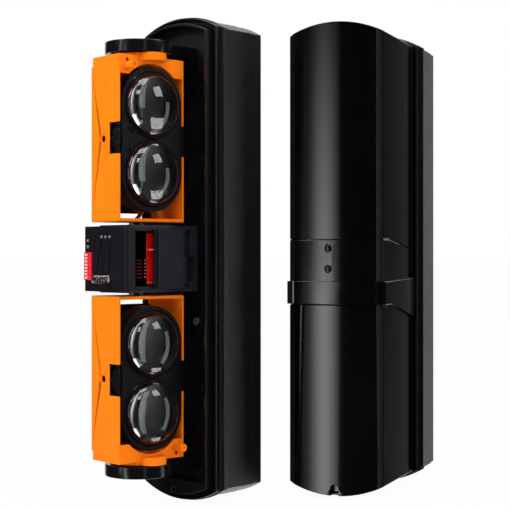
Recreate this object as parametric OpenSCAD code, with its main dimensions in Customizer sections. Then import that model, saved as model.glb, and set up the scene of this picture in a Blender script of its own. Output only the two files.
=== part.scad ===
// Infrared beam detector set: a receiver without its cover and a transmitter with its cover on.
// Millimetres, Z up. Before it is placed, each unit faces -Y and its own mid height is z = 0.

/* [Housing] */
// Height of each unit over its vaulted ends
unit_h = 450; // [400:1:520]
// Radius of the vaulted ends
arch_r = 105.3; // [95:0.5:140]
// Width of the flange
flange_w = 110; // [106:0.5:125]
// Thickness of the flange
flange_t = 4; // [2:0.1:8]
// Width over the side walls behind the flange
body_w = 106; // [100:0.5:109]
// How far the vaulted ends of the side walls lie inside those of the flange
body_drop = 1.5; // [0.5:0.1:4]
// Depth from the flange's face to the seam of the wall plate
body_depth = 37.7; // [30:0.5:60]
// Wall of the chassis
wall_t = 2.5; // [1.5:0.1:4]
// Thickness of the tray floor
floor_t = 2.5; // [1.5:0.1:5]
// Depth of the wall plate
plate_depth = 13.2; // [8:0.2:25]
// Step from the side walls in to the wall plate
plate_step = 0.6; // [0:0.1:2]
// Width over the inner rim
rim_w = 87.2; // [80:0.2:88]
// How far the inner rim stands ahead of the flange
rim_ahead = 12.5; // [8:0.5:20]
// Wall of the inner rim
rim_t = 2.6; // [1.5:0.1:4]
// How far the vaulted ends of the inner rim lie inside those of the flange
rim_drop = 7; // [6:0.1:12]
// Width over the outer lip
lip_w = 100; // [99:0.2:104]
// How far the outer lip stands ahead of the flange
lip_ahead = 5; // [3:0.2:9]
// Wall of the outer lip
lip_t = 2; // [1:0.1:3]
// How far the vaulted ends of the outer lip lie inside those of the flange
lip_drop = 1; // [0.4:0.1:2]
// Thickness of the rubber seal between the two rims
seal_t = 2.4; // [1:0.1:3]
// Gap beside the rubber seal
seal_gap = 0.3; // [0.1:0.05:0.6]

/* [Cover] */
// Width of the cover at its rear edge
cover_rear_w = 94.8; // [90:0.2:95]
// Width of the cover where its side facets meet
cover_mid_w = 93.8; // [84:0.2:95]
// Width of the cover at its front ridges
cover_ridge_w = 92; // [80:0.2:94]
// Width of the cover's front between its bevels
cover_bevel_w = 80; // [60:0.5:84]
// Distance ahead of the flange where the side facets meet
cover_mid_f = 27; // [15:0.5:60]
// Distance ahead of the flange of the ridges
cover_ridge_f = 109; // [105:0.5:130]
// Distance ahead of the flange of the bevels' inner edges
cover_bevel_f = 112.4; // [108:0.2:134]
// Distance ahead of the flange of the front's middle
cover_front_f = 114.6; // [110:0.2:140]
// Wall of the cover
cover_t = 2.3; // [1.5:0.1:3]
// How far the vaulted ends of the cover lie inside those of the flange
cover_drop = 4; // [3.5:0.1:4.5]
// Gap between the cover's rear edge and the flange's face
cover_gap = 3; // [2.5:0.1:4]
// Width and depth of the decorative seams
seam_t = 0.8; // [0.4:0.1:1.5]
// Height of the upper seam above mid height, at the front
seam_front_z = 18; // [10:0.5:40]
// Height of the upper seam above mid height, at the rear edge
seam_rear_z = 8; // [0:0.5:30]
// How far the band stands out of the cover
band_t = 2.4; // [1:0.1:2.6]
// Depth of the band's upper edge below mid height, at the front
band_top_z = 21; // [15:0.5:40]
// Depth of the band's upper edge below mid height, at the rear
band_top_rear_z = 18; // [15:0.5:40]
// Depth of the band's lower edge below mid height, at the front
band_low_z = 43; // [35:0.5:90]
// Depth of the band's lower edge below mid height, at the rear
band_low_rear_z = 60; // [45:0.5:110]
// Distance ahead of the flange of the band's ends
band_end_f = 5.8; // [5.4:0.2:12]
// Diameter of the indicator windows
window_d = 6.8; // [4:0.2:10]
// Distance of the indicator windows left of the middle
window_x = 6; // [0:0.5:20]
// Distance of each indicator window from mid height
window_z = 9.6; // [6:0.2:15]
// How far the indicator windows stand out of the cover's front
window_ahead = 0.4; // [0.1:0.1:1.5]
// Thickness of the indicator windows
window_t = 4.6; // [3:0.1:6]

/* [Cover screw] */
// Diameter of the cover screw's shank
lock_d = 4; // [3:0.1:5]
// Diameter of the cover screw's head
lock_head_d = 6.4; // [5.5:0.1:7]
// Length of the cover screw's head
lock_head_l = 4; // [2:0.1:8]
// Distance of the screw head's face behind the front of the cover
lock_recess = 6; // [4:0.1:15]
// Distance of the screw's axis from the bottom of the unit
lock_axis_h = 10.8; // [10.4:0.1:14]
// Width of the notch that the screw is reached through
notch_w = 7.4; // [7:0.1:10]
// Thickness of the rib that carries the screw
lock_rib_t = 2.5; // [1.5:0.1:5]
// Width of the rib that carries the screw
lock_rib_w = 16; // [12:0.5:30]
// Height of the rib above the screw's axis
lock_rib_top = 6; // [4:0.5:12]
// Outer diameter of the brass insert
insert_d = 5.8; // [5.4:0.1:6.4]
// Length of the brass insert
insert_l = 8; // [4:0.2:10]
// Height of the bridge that holds the brass insert, from the bottom of the unit
insert_bridge_h = 21; // [18:0.5:30]
// Thickness of the bridge that holds the brass insert
insert_bridge_t = 6; // [3:0.2:10]
// How far the cover screw reaches into the insert
lock_reach = 5; // [2:0.2:7]

/* [Pivot arms] */
// Distance of the heads' turning axis ahead of the flange
pivot_f = 55; // [50:0.5:60]
// Diameter of the disc at the end of each pivot arm
disc_d = 61; // [40:0.5:66]
// Thickness of the pivot arms
arm_t = 10.6; // [6:0.2:12]
// Width of the pivot arms' beam
arm_w = 36; // [20:0.5:44]
// Distance from the outer face of each pivot arm to the end of the unit
arm_end = 30; // [25:0.5:35]
// Height of each pivot arm's foot along the tray floor
arm_foot_h = 26; // [20:0.5:36]
// Thickness of each pivot arm's foot
arm_foot_t = 3.5; // [2:0.1:6]
// Diameter of the pins on the pivot arms
pin_d = 8; // [5:0.1:10]
// Depth of the shallow pan in each disc
disc_pan = 1.2; // [0.4:0.1:3]
// Rim left around the shallow pan in each disc
disc_rim = 4; // [2:0.1:8]

/* [Heads] */
// Width of the head frame
head_w = 73; // [71:0.2:74]
// Height of the boss between each head frame and its pivot arm
boss_h = 3.4; // [3:0.1:8]
// Thickness of the head frame's two ends
head_end_t = 3; // [2:0.1:4]
// Height of the front plate at the outer end of the head frame
front_plate_h = 17; // [15:0.5:24]
// Height of the rear plate at the outer end of the head frame
rear_plate_h = 24; // [10:0.5:25]
// Height of the step at the back of the head frame's outer end
shoulder_h = 8; // [4:0.5:12]
// Depth of the step at the back of the head frame's outer end
shoulder_t = 5; // [2:0.5:8]
// Diameter of the sighting hole in each side of the head frame
sight_d = 6; // [3:0.2:8]
// Distance of the sighting holes behind the heads' turning axis
sight_back = 3.6; // [2.6:0.1:6]
// Distance from mid height to the lower end of the head frame
head_z = 33; // [32:0.5:34]
// Reach of the head frame ahead of its turning axis
head_front = 20; // [18:0.2:20.5]
// Reach of the head frame behind its turning axis
head_back = 25; // [18:0.2:27]
// Reach of the head frame's full width behind its turning axis
head_back_full = 21.5; // [16:0.1:22]
// Width of the head frame at its back
head_back_w = 68; // [62:0.5:69]
// Wall of the head frame
head_t = 1.8; // [1.2:0.1:2.2]
// Thickness of the head frame's front plate
head_front_t = 2; // [1:0.1:2.6]
// Diameter of the boss on each head frame
boss_d = 26; // [14:0.5:30]
// Running gap between a head frame's boss and what it turns against
turn_gap = 0.3; // [0.1:0.05:0.5]
// Running clearance of pins in their bores, on the radius
pin_clear = 0.05; // [0.02:0.01:0.1]
// Diameter of the half round tab at the front of a head frame's outer end
tab_d = 25.6; // [16:0.2:30]
// How far the half round tab stands above the outer end
tab_rise = 2.9; // [1:0.1:3]
// How far the half round tab reaches below the outer end
tab_drop = 4.3; // [2:0.1:5]
// Height of the notch for the pivot clip
clip_h = 28; // [20:0.5:36]
// Depth of the notch for the pivot clip
clip_f = 14; // [9:0.2:16]
// How far the pivot clip stands out of the frame's side
clip_out = 0.4; // [0:0.1:0.6]
// Distance of the tilt axis behind the front of the head frame
tilt_back = 5; // [4:0.1:8]
// Diameter of the tilt pins
tilt_d = 4; // [3:0.1:5]
// Width of the lens carrier
carrier_w = 66.6; // [64:0.2:67]
// Distance from each end of the head frame to the lens carrier
carrier_end = 8.95; // [8:0.05:14]
// Gap between the lens carrier's ends and the frame's front opening
carrier_end_gap = 2.5; // [2.2:0.1:4]
// Gap between the lens carrier's sides and the frame's front opening
carrier_side_gap = 0.9; // [0.6:0.1:1.1]
// How far the lens carrier's face stands ahead of the frame
carrier_ahead = 0.5; // [0:0.1:1]
// Thickness of the lens carrier's face
carrier_face_t = 2.5; // [1.5:0.1:4]
// Depth of the lens carrier's rounded body
carrier_depth = 16.5; // [10:0.5:18]
// Wall of the lens carrier
carrier_t = 2; // [1.2:0.1:3]
// Width of the lens carrier's rear box
rear_w = 52; // [50:0.5:56]
// Distance from each end of the lens carrier to its rear box
rear_end = 14.9; // [12:0.1:20]
// Reach of the rear box behind the heads' turning axis
rear_back = 17; // [12:0.5:19]
// Distance from each end of the lens carrier to the middle of the lens next to it
lens_end = 34.3; // [33.5:0.1:38]
// Diameter of each lens dome as a share of the room for it
lens_share = 0.82; // [0.7:0.01:0.84]
// Height of each lens dome
lens_dome = 9; // [3:0.5:12]
// Width of the rim behind each lens dome
lens_rim_w = 2; // [1:0.1:3]
// Thickness of the rim behind each lens dome
lens_rim_t = 2; // [1:0.1:3]
// Gap around each lens in its bezel
lens_gap = 0.3; // [0.1:0.05:0.5]
// Width of each bezel ring, from the lens's edge
bezel_w = 4; // [2:0.1:5]
// Height of each bezel ring
bezel_h = 1.6; // [0.5:0.1:2]
// Diameter of the tilt screw's barrel
tilt_screw_d = 7; // [6:0.2:9.4]
// Length of the tilt screw's barrel
tilt_screw_l = 11; // [6:0.5:12]
// Diameter of the tilt screw's shank
tilt_shank_d = 4; // [3:0.1:5]
// Length of the tilt screw's shank behind the frame's front plate
tilt_shank_l = 9; // [4:0.5:14]
// Distance of the tilt screw from the head's middle
tilt_screw_x = 27.6; // [24:0.2:30]
// Distance of the tilt screw from the outer end of the head frame
tilt_screw_down = 10.1; // [8:0.1:12]
// Width of the slot arms in the tilt screw's head
recess_w = 1.4; // [0.6:0.1:2]
// Depth of the cross recess in the screws' heads
recess_t = 1.2; // [0.5:0.1:2]
// Thickness of the sensor boards
board_t = 1.6; // [1:0.1:2.4]
// Diameter of the sensor cans
can_d = 9; // [5:0.5:12]
// Height of the sensor cans
can_h = 6; // [3:0.5:10]

/* [Control box] */
// Width of the control box
box_w = 56; // [50:0.5:60]
// Height of the control box
box_h = 53; // [48:0.5:56]
// Distance of the control box's back ahead of the flange
box_back_f = 22; // [15:0.5:30]
// Distance of the control box's front ahead of the flange
box_front_f = 92; // [85:0.5:100]
// Wall of the control box
box_t = 2; // [1:0.1:3]
// Thickness of the front panel
panel_t = 2.5; // [1.5:0.1:4]
// Height of the front panel
panel_h = 58; // [54:0.5:62]
// Distance from the panel's left edge to its fold line
fold_x = 12; // [10:0.5:16]
// Distance of the side opening's front edge ahead of the flange
hatch_front_f = 83; // [75:0.5:86]
// Distance of the side opening's rear edge ahead of the flange
hatch_back_f = 60; // [50:0.5:66]
// Thickness of the side plate
side_plate_t = 1.6; // [1:0.1:2.4]
// Distance of the side plate's front edge ahead of the flange
side_plate_f = 57.6; // [50:0.2:58]
// Distance of the side plate's rear edge ahead of the flange
side_plate_back_f = 23; // [22:0.2:30]
// Height of the upper step in the side plate's rear edge
side_plate_step = 25; // [10:0.5:30]
// Height of the lower step in the side plate's rear edge
side_plate_low_step = 5; // [2:0.5:12]
// Depth of the steps in the side plate's rear edge
side_plate_step_f = 2.6; // [1:0.1:5]
// Thickness of the bracket's arms
bracket_t = 3.7; // [3:0.1:4.4]
// Width of the bracket's arms
bracket_w = 40; // [30:0.5:44]
// Reach of the bracket's arms ahead of the flange
bracket_f = 84; // [70:0.5:90]
// Thickness of the bracket's base on the tray floor
bracket_base_t = 3; // [2:0.1:5]
// Depth of the bracket's two feet
bracket_foot_f = 9; // [5:0.5:12]
// Length of the upper foot, from its arm towards mid height
bracket_foot_up = 25; // [10:0.5:26]
// Length of the lower foot, from its arm towards mid height
bracket_foot_low = 5; // [3:0.5:20]
// Diameter of the collar round each pin of the bracket
bracket_collar_d = 12; // [9:0.5:20]
// Diameter of the pins on the bracket
bracket_pin_d = 6; // [4:0.1:8]
// Length of the pins on the bracket past the heads' lower ends
bracket_pin_l = 1.6; // [1:0.1:1.8]
// Thickness of the circuit board
pcb_t = 1.6; // [1:0.1:2.4]
// Distance from the side plate's wall in to the circuit board
pcb_in = 8; // [8:0.5:16]
// Height of the circuit board
pcb_h = 46; // [36:0.5:48]
// Width of the red connector block
connector_w = 4.6; // [4:0.1:5.8]
// Height of the red connector block
connector_h = 47; // [36:0.5:48]
// Depth of the red connector block
connector_f = 15; // [10:0.5:17]
// Distance of the connector block behind the side opening's front edge
connector_in = 1; // [0:0.5:4]
// Distance of the middle of the connector block's slots below mid height
slots_z = 8.6; // [4:0.2:9]
// Number of wire slots in the connector block
slots = 6; // [2:1:8]
// Pitch of the wire slots
slot_pitch = 3; // [2.6:0.1:3.4]
// Height of each wire slot
slot_h = 1.6; // [1:0.1:2]
// Depth of each wire slot
slot_t = 2; // [1:0.1:3]
// Number of header pins
header_pins = 4; // [2:1:4]
// Pitch of the header pins
header_pitch = 2; // [1.6:0.02:2.1]
// Thickness of a header pin
header_pin = 0.8; // [0.5:0.05:1]
// Length of a header pin
header_l = 5.6; // [3:0.1:6]
// Height of the header pins above mid height
header_z = 8.2; // [4:0.2:20]
// Thickness of the header's housing
header_t = 2.6; // [2:0.1:4]

/* [Panel parts] */
// Width of the DIP switch
dip_w = 9.6; // [8:0.1:11]
// Number of DIP sliders
dip_count = 8;
// Pitch of the DIP sliders
dip_pitch = 2.9; // [2.5:0.05:3.2]
// Depth of the DIP switch's end walls
dip_end = 1.3; // [0.8:0.1:2]
// How far the DIP switch stands out of the panel
dip_ahead = 1.6; // [1.4:0.1:4]
// Distance from the panel's left edge to the DIP switch
dip_x = 0.9; // [0.5:0.1:1.5]
// Distance of the DIP switch's middle below mid height
dip_z = 6.6; // [4:0.2:10]
// Length of each slot for a slider
dip_slot_l = 5; // [4:0.1:6]
// Height of each slot for a slider
dip_slot_h = 1.7; // [1.2:0.1:2]
// Depth of each slot for a slider
dip_slot_t = 1.2; // [0.8:0.1:1.3]
// Length of a slider
slider_l = 2.4; // [1.6:0.1:3]
// Gap around a slider in its slot
slider_gap = 0.05; // [0.02:0.01:0.1]
// How far a slider stands out of the DIP switch
slider_out = 0.8; // [0.3:0.1:1.2]
// Diameter of the status lamps
lamp_d = 3; // [2:0.1:4]
// Diameter of the collar behind each status lamp
lamp_collar_d = 4; // [3.6:0.1:5]
// Thickness of the collar behind each status lamp
lamp_collar_t = 1.2; // [0.8:0.1:2]
// Distance of the lamp row above mid height
lamp_row_z = 19.5; // [18:0.5:24]
// Pitch of the lamps
lamp_pitch = 5.4; // [4.4:0.1:6]
// Distance of the lamp row's middle from the panel's middle
lamp_row_x = 1.6; // [0:0.2:4]
// Distance of the lamp column from the panel's left edge
lamp_column_x = 5; // [4:0.2:7]
// Height of the lower lamp in the column above mid height
lamp_column_z = 10.8; // [10:0.2:14]
// Diameter of the hole for the tamper spring
tamper_hole_d = 9; // [8.6:0.1:12]
// Distance of the tamper spring from the panel's middle
tamper_x = 2.2; // [0:0.2:6]
// Distance of the tamper spring below mid height
tamper_z = 18; // [14:0.5:22]
// Outer diameter of the tamper spring
spring_d = 7.4; // [6:0.1:8.2]
// Wire diameter of the tamper spring
spring_wire = 0.9; // [0.5:0.05:1.1]
// Number of curls in the tamper spring
spring_curls = 7; // [4:1:8]
// Length of the tamper spring
spring_l = 17; // [14:0.2:17.4]
// Diameter of the plunger that the spring sits on
plunger_d = 7.8; // [6.4:0.1:8.2]
// Thickness of the plunger's disc
plunger_t = 1.6; // [1:0.1:2.4]
// Diameter of the plunger's stem
stem_d = 3; // [2:0.1:4]
// Length of the plunger's stem
stem_l = 10; // [8:0.2:12]
// Travel of the tamper plunger
plunger_travel = 3; // [1.5:0.1:3.4]
// Side of the tamper switch's body
tamper_side = 12; // [10:0.5:16]
// Depth of the tamper switch's body
tamper_t = 7; // [4:0.5:8]

/* [Small parts] */
// Diameter of the cable grommet's hole in the tray floor
grommet_d = 20; // [14:0.5:24]
// Diameter of the cable grommet's flange
grommet_flange_d = 26; // [18:0.5:30]
// Thickness of the cable grommet's flange
grommet_flange_t = 1.6; // [1:0.1:3]
// Bore of the cable grommet
cable_d = 9; // [5:0.1:12]
// Distance of the cable grommet left of the middle
grommet_x = 22; // [16:0.5:26]
// Distance of the wall screws from the end of the unit
fix_end = 71; // [66:1:80]
// Distance of the wall screws from the middle
fix_x = 25; // [20:0.5:30]
// Diameter of the screw holes
fix_d = 5; // [4:0.1:7]
// Width of the earth plate
earth_w = 15; // [10:0.5:18]
// Height of the earth plate
earth_h = 26; // [16:0.5:30]
// Thickness of the earth plate
earth_t = 2; // [1:0.1:3]
// Distance of the earth plate right of the middle
earth_x = 21; // [19.5:0.5:24]
// Distance of the earth plate's middle below mid height
earth_z = 58; // [56:0.5:62]
// Diameter of the heads of the earth screw and the arm screws
screw_head_d = 7; // [5:0.2:8]
// Height of the heads of the earth screw and the arm screws
screw_head_h = 2.2; // [1:0.1:3]
// Diameter of the shanks of the earth screw and the arm screws
screw_d = 3.6; // [2.5:0.1:4]
// Length of the shanks of the earth screw and the arm screws
screw_l = 8; // [4:0.5:12]
// Distance of each arm screw from the middle
arm_screw_x = 12; // [8:0.5:13.5]

/* [Placing] */
// Sideways distance from the receiver to the transmitter
pair_x = 63.5; // [55:1:120]
// Distance from the receiver back to the transmitter
pair_y = 199; // [190:1:260]
// Turn of the transmitter against the receiver, in degrees
pair_turn = 22; // [0:1:45]
// Turn of the receiver's heads, in degrees
head_turn = 86; // [45:1:90]

/* [Hidden] */
$fn = 72;
over = 1;

dark_grey = [0.23, 0.23, 0.25];
black = [0.07, 0.07, 0.08];
orange = [0.92, 0.30, 0.10];
red = [0.80, 0.10, 0.12];
steel = [0.72, 0.72, 0.74];
brass = [0.80, 0.64, 0.28];
clear = [0.80, 0.88, 0.92];
white = [0.92, 0.92, 0.90];
mid_grey = [0.45, 0.45, 0.48];

half_h = unit_h / 2;
lock_z = lock_axis_h - half_h;
arm_top_z = half_h - arm_end;
arm_low_z = arm_top_z - arm_t;
head_h = arm_low_z - turn_gap - boss_h - head_z;
head_top_z = head_z + head_h;
head_mid_z = head_z + head_h / 2;
tilt_y = tilt_back - head_front;
carrier_face_y = -head_front - carrier_ahead;
carrier_body_y = carrier_face_y + carrier_depth;
carrier_h = head_h - 2 * carrier_end;
lens_pitch = carrier_h - 2 * lens_end;
lens_d = lens_share * min(lens_pitch, carrier_w);
lens_rim_d = lens_d + 2 * lens_rim_w;
bezel_d = lens_d + 2 * bezel_w;
rear_h = carrier_h - 2 * rear_end;
fix_z = half_h - fix_end;
bracket_out_z = box_h / 2 + bracket_t;
panel_face_f = box_front_f + panel_t;
panel_left = -box_w / 2;
dip_h = dip_count * dip_pitch + 2 * dip_end - (dip_pitch - dip_slot_h);
dip_face_f = panel_face_f + dip_ahead;
dip_mid_x = panel_left + dip_x + dip_w / 2;
rim_crown = half_h - rim_drop;
band_corner_x = cover_ridge_w / 2 + band_t;
band_corner_f = cover_ridge_f + band_t / 2;
right_x = pair_x + band_corner_x * cos(pair_turn) + band_corner_f * sin(pair_turn);
back_corner_x = body_w / 2 - plate_step;
back_y = pair_y + back_corner_x * sin(pair_turn) + (body_depth + plate_depth) * cos(pair_turn);
set_x = (flange_w / 2 - right_x) / 2;
set_y = (box_front_f + spring_l - back_y) / 2;

// Draws a flat shape in X and Z between two distances ahead of the flange.
module ahead(f0, f1) {
    translate([0, -f0, 0])
        rotate([90, 0, 0])
            linear_extrude(f1 - f0)
                children();
}

// Turns an axis along Z into one that points ahead, starting f ahead of the flange.
module point_ahead(x, f, z) {
    translate([x, -f, z])
        rotate([90, 0, 0])
            children();
}

// Flat outline with straight sides and vaulted ends.
module vault(w, crown) {
    reach = arch_r - sqrt(arch_r * arch_r - w * w / 4);
    side = crown - reach;
    square([w, 2 * side], center = true);
    intersection() {
        translate([0, crown - arch_r])
            circle(r = arch_r, $fn = 180);
        translate([-w / 2, 0])
            square([w, crown]);
    }
    intersection() {
        translate([0, arch_r - crown])
            circle(r = arch_r, $fn = 180);
        translate([-w / 2, -crown])
            square([w, crown]);
    }
}

// Ring between a vaulted outline and the same one made smaller by a wall.
module vault_ring(w, crown, t) {
    difference() {
        vault(w, crown);
        vault(w - 2 * t, crown - t);
    }
}

// Puts pieces of the receiver in their place in the set.
module at_receiver() {
    translate([set_x, set_y, half_h])
        children();
}

// Puts pieces of the transmitter in their place in the set.
module at_transmitter() {
    translate([set_x + pair_x, set_y + pair_y, half_h])
        rotate([0, 0, pair_turn])
            children();
}

// Places a head: side is 1 for the upper and -1 for the lower one, turn is its swing.
module at_head(side, turn) {
    translate([0, -pivot_f, 0])
        rotate([0, 0, turn])
            rotate([0, side > 0 ? 0 : 180, 0])
                children();
}

// Housing with its flange, two rims, tray floor and side walls.
module chassis_shape() {
    difference() {
        union() {
            difference() {
                ahead(-flange_t, 0)
                    vault(flange_w, half_h);
                ahead(-flange_t - over, -floor_t)
                    vault(body_w - 4 * wall_t, half_h - body_drop - 2 * wall_t);
            }
            ahead(-body_depth, -flange_t)
                vault_ring(body_w, half_h - body_drop, wall_t);
            ahead(0, rim_ahead)
                vault_ring(rim_w, rim_crown, rim_t);
            ahead(0, lip_ahead)
                vault_ring(lip_w, half_h - lip_drop, lip_t);
            ahead(rim_ahead - insert_bridge_t, rim_ahead)
                intersection() {
                    vault(rim_w, rim_crown);
                    translate([-rim_w / 2, -half_h])
                        square([rim_w, insert_bridge_h]);
                }
            for (x = [-1, 1], z = [-1, 1])
                point_ahead(x * fix_x, -body_depth, z * fix_z)
                    cylinder(h = body_depth - floor_t / 2, d = 2 * fix_d);
        }
        for (x = [-1, 1], z = [-1, 1])
            point_ahead(x * fix_x, -body_depth - over, z * fix_z)
                cylinder(h = body_depth + 2 * over, d = fix_d);
        point_ahead(-grommet_x, -floor_t - over, -fix_z + grommet_d)
            cylinder(h = floor_t + 2 * over, d = grommet_d);
        point_ahead(0, rim_ahead - insert_l, lock_z)
            cylinder(h = insert_l + over, d = insert_d);
        for (x = [-1, 1], z = [-1, 1])
            point_ahead(x * arm_screw_x, -floor_t - over, z * arm_screw_z())
                cylinder(h = floor_t + 2 * over, d = screw_d);
        point_ahead(earth_x, -floor_t - over, -earth_z)
            cylinder(h = floor_t + 2 * over, d = screw_d);
    }
}

function arm_screw_z() = arm_low_z - arm_foot_h / 2;

// Shallow pan that closes the housing's back and screws to the wall.
module wall_plate_shape() {
    plate_w = body_w - 2 * plate_step;
    plate_crown = half_h - body_drop - plate_step;
    difference() {
        ahead(-body_depth - plate_depth, -body_depth)
            vault(plate_w, plate_crown);
        difference() {
            ahead(-body_depth - plate_depth + wall_t, -body_depth + over)
                vault(plate_w - 2 * wall_t, plate_crown - wall_t);
            for (x = [-1, 1], z = [-1, 1])
                point_ahead(x * fix_x, -body_depth - plate_depth, z * fix_z)
                    cylinder(h = plate_depth, d = 2 * fix_d);
        }
        for (x = [-1, 1], z = [-1, 1])
            point_ahead(x * fix_x, -body_depth - plate_depth - over, z * fix_z)
                cylinder(h = plate_depth + 2 * over, d = fix_d);
        point_ahead(-grommet_x, -body_depth - plate_depth - over, -fix_z + grommet_d)
            cylinder(h = wall_t + 2 * over, d = grommet_d);
    }
}

// Rubber seal in the groove between the two rims.
module seal_shape() {
    ahead(0, seal_t)
        difference() {
            vault(lip_w - 2 * lip_t - 2 * seal_gap, half_h - lip_drop - lip_t - seal_gap);
            vault(rim_w + 2 * seal_gap, rim_crown + seal_gap);
        }
}

// Rubber grommet in the tray floor.
module grommet_shape() {
    point_ahead(-grommet_x, -floor_t, -fix_z + grommet_d)
        difference() {
            union() {
                cylinder(h = floor_t, d = grommet_d);
                translate([0, 0, floor_t])
                    cylinder(h = grommet_flange_t, d = grommet_flange_d);
                translate([0, 0, -grommet_flange_t])
                    cylinder(h = grommet_flange_t, d = grommet_flange_d);
            }
            translate([0, 0, -grommet_flange_t - over])
                cylinder(h = floor_t + 2 * grommet_flange_t + 2 * over, d = cable_d);
        }
}

// One pivot arm: disc, beam, foot on the tray floor and the pin that a head turns on.
module arm_shape() {
    difference() {
        union() {
            translate([0, -pivot_f, arm_low_z])
                cylinder(h = arm_t, d = disc_d);
            translate([-arm_w / 2, -pivot_f, arm_low_z])
                cube([arm_w, pivot_f, arm_t]);
            translate([-arm_w / 2, -arm_foot_t, arm_low_z - arm_foot_h])
                cube([arm_w, arm_foot_t, arm_foot_h + arm_t]);
            translate([0, -pivot_f, head_top_z - head_end_t])
                cylinder(h = arm_low_z - head_top_z + head_end_t + over, d = pin_d);
        }
        translate([0, -pivot_f, arm_top_z - disc_pan])
            cylinder(h = disc_pan + over, d = disc_d - 2 * disc_rim);
        for (x = [-1, 1])
            point_ahead(x * arm_screw_x, -over, arm_screw_z())
                cylinder(h = arm_foot_t + 2 * over, d = screw_d);
    }
}

// Round headed screw with a cross recess, its head's underside at z = 0 and its head upwards.
module screw_shape() {
    difference() {
        union() {
            cylinder(h = screw_head_h, d = screw_head_d);
            translate([0, 0, -screw_l])
                cylinder(h = screw_l, d = screw_d);
        }
        cross_recess(screw_head_d, screw_head_h);
    }
}

// Cross recess cut into the top of a screw head of diameter d whose face is at z = h.
module cross_recess(d, h) {
    arm = 3 / 5 * d;
    translate([-arm / 2, -recess_w / 2, h - recess_t])
        cube([arm, recess_w, recess_t + over]);
    translate([-recess_w / 2, -arm / 2, h - recess_t])
        cube([recess_w, arm, recess_t + over]);
}

// Bracket that carries the control box and the inner pins of the heads.
module bracket_shape() {
    for (s = [-1, 1])
        scale([1, 1, s])
            union() {
                translate([-bracket_w / 2, -bracket_f, box_h / 2])
                    cube([bracket_w, bracket_f, bracket_t]);
                translate([-bracket_w / 2, -bracket_base_t, 0])
                    cube([bracket_w, bracket_base_t, bracket_out_z]);
                translate([0, -pivot_f, bracket_out_z])
                    cylinder(h = head_z - bracket_out_z + bracket_pin_l, d = bracket_pin_d);
                translate([0, -pivot_f, bracket_out_z])
                    cylinder(h = head_z - bracket_out_z - turn_gap, d = bracket_collar_d);
            }
    translate([-bracket_w / 2, -bracket_foot_f, box_h / 2 - bracket_foot_up])
        cube([bracket_w, bracket_foot_f, bracket_foot_up + bracket_t]);
    translate([-bracket_w / 2, -bracket_foot_f, -bracket_out_z])
        cube([bracket_w, bracket_foot_f, bracket_foot_low + bracket_t]);
}

// Case of the control box, open at the front and with a hatch in its right side.
module case_shape(hatch) {
    difference() {
        translate([-box_w / 2, -box_front_f, -box_h / 2])
            cube([box_w, box_front_f - box_back_f, box_h]);
        translate([-box_w / 2 + box_t, -box_front_f - over, -box_h / 2 + box_t])
            cube([box_w - 2 * box_t, box_front_f - box_back_f - box_t + over, box_h - 2 * box_t]);
        if (hatch)
            translate([box_w / 2 - box_t - over, -hatch_front_f, -box_h / 2 - over])
                cube([box_t + 2 * over, hatch_front_f - hatch_back_f, box_h + 2 * over]);
    }
}

// Front panel with its fold line, and on the receiver its lamp holes and its spring hole.
module panel_shape(fitted) {
    difference() {
        translate([-box_w / 2, -panel_face_f, -panel_h / 2])
            cube([box_w, panel_t, panel_h]);
        translate([panel_left + fold_x, -panel_face_f - over, -panel_h / 2 - over])
            cube([box_t / 4, over + panel_t / 5, panel_h + 2 * over]);
        if (fitted) {
            lamp_places()
                translate([0, 0, -over])
                    cylinder(h = panel_t + 2 * over, d = lamp_d);
            point_ahead(tamper_x, box_front_f - over, -tamper_z)
                cylinder(h = panel_t + 2 * over, d = tamper_hole_d);
        }
    }
}

// Places of the status lamps, at the panel's rear face.
module lamp_places() {
    for (k = [-1, 0, 1])
        point_ahead(lamp_row_x + k * lamp_pitch, box_front_f, lamp_row_z)
            children();
    for (k = [0, 1])
        point_ahead(panel_left + lamp_column_x, box_front_f, lamp_column_z + k * lamp_pitch)
            children();
}

// Status lamps with their collars.
module lamps_shape() {
    lamp_places()
        union() {
            cylinder(h = panel_t, d = lamp_d);
            translate([0, 0, panel_t])
                sphere(d = lamp_d, $fn = 24);
            translate([0, 0, -lamp_collar_t])
                cylinder(h = lamp_collar_t, d = lamp_collar_d);
        }
}

// Grey plate on the right side of the case, with a step in its rear edge.
module side_plate_shape() {
    difference() {
        translate([box_w / 2, -side_plate_f, -box_h / 2])
            cube([side_plate_t, side_plate_f - side_plate_back_f, box_h]);
        translate([box_w / 2 - over, -side_plate_back_f - side_plate_step_f, box_h / 2 - side_plate_step])
            cube([side_plate_t + 2 * over, side_plate_step_f + over, side_plate_step + over]);
        translate([box_w / 2 - over, -side_plate_back_f - side_plate_step_f, -box_h / 2 - over])
            cube([side_plate_t + 2 * over, side_plate_step_f + over, side_plate_low_step + over]);
    }
}

// Circuit board that stands inside the case behind the hatch.
module pcb_shape() {
    translate([box_w / 2 - box_t - pcb_in, -box_front_f, -pcb_h / 2])
        cube([pcb_t, box_front_f - box_back_f - box_t, pcb_h]);
}

pcb_face_x = box_w / 2 - box_t - pcb_in + pcb_t;

// Red connector block with its wire slots.
module connector_shape() {
    first = (slots - 1) / 2;
    difference() {
        translate([pcb_face_x, -hatch_front_f + connector_in, -connector_h / 2])
            cube([connector_w, connector_f, connector_h]);
        for (k = [0 : slots - 1])
            translate([
                pcb_face_x + connector_w - slot_t,
                -hatch_front_f + connector_in + connector_f / 4,
                -slots_z + (k - first) * slot_pitch - slot_h / 2
            ])
                cube([slot_t + over, connector_f / 2, slot_h]);
    }
}

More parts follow.
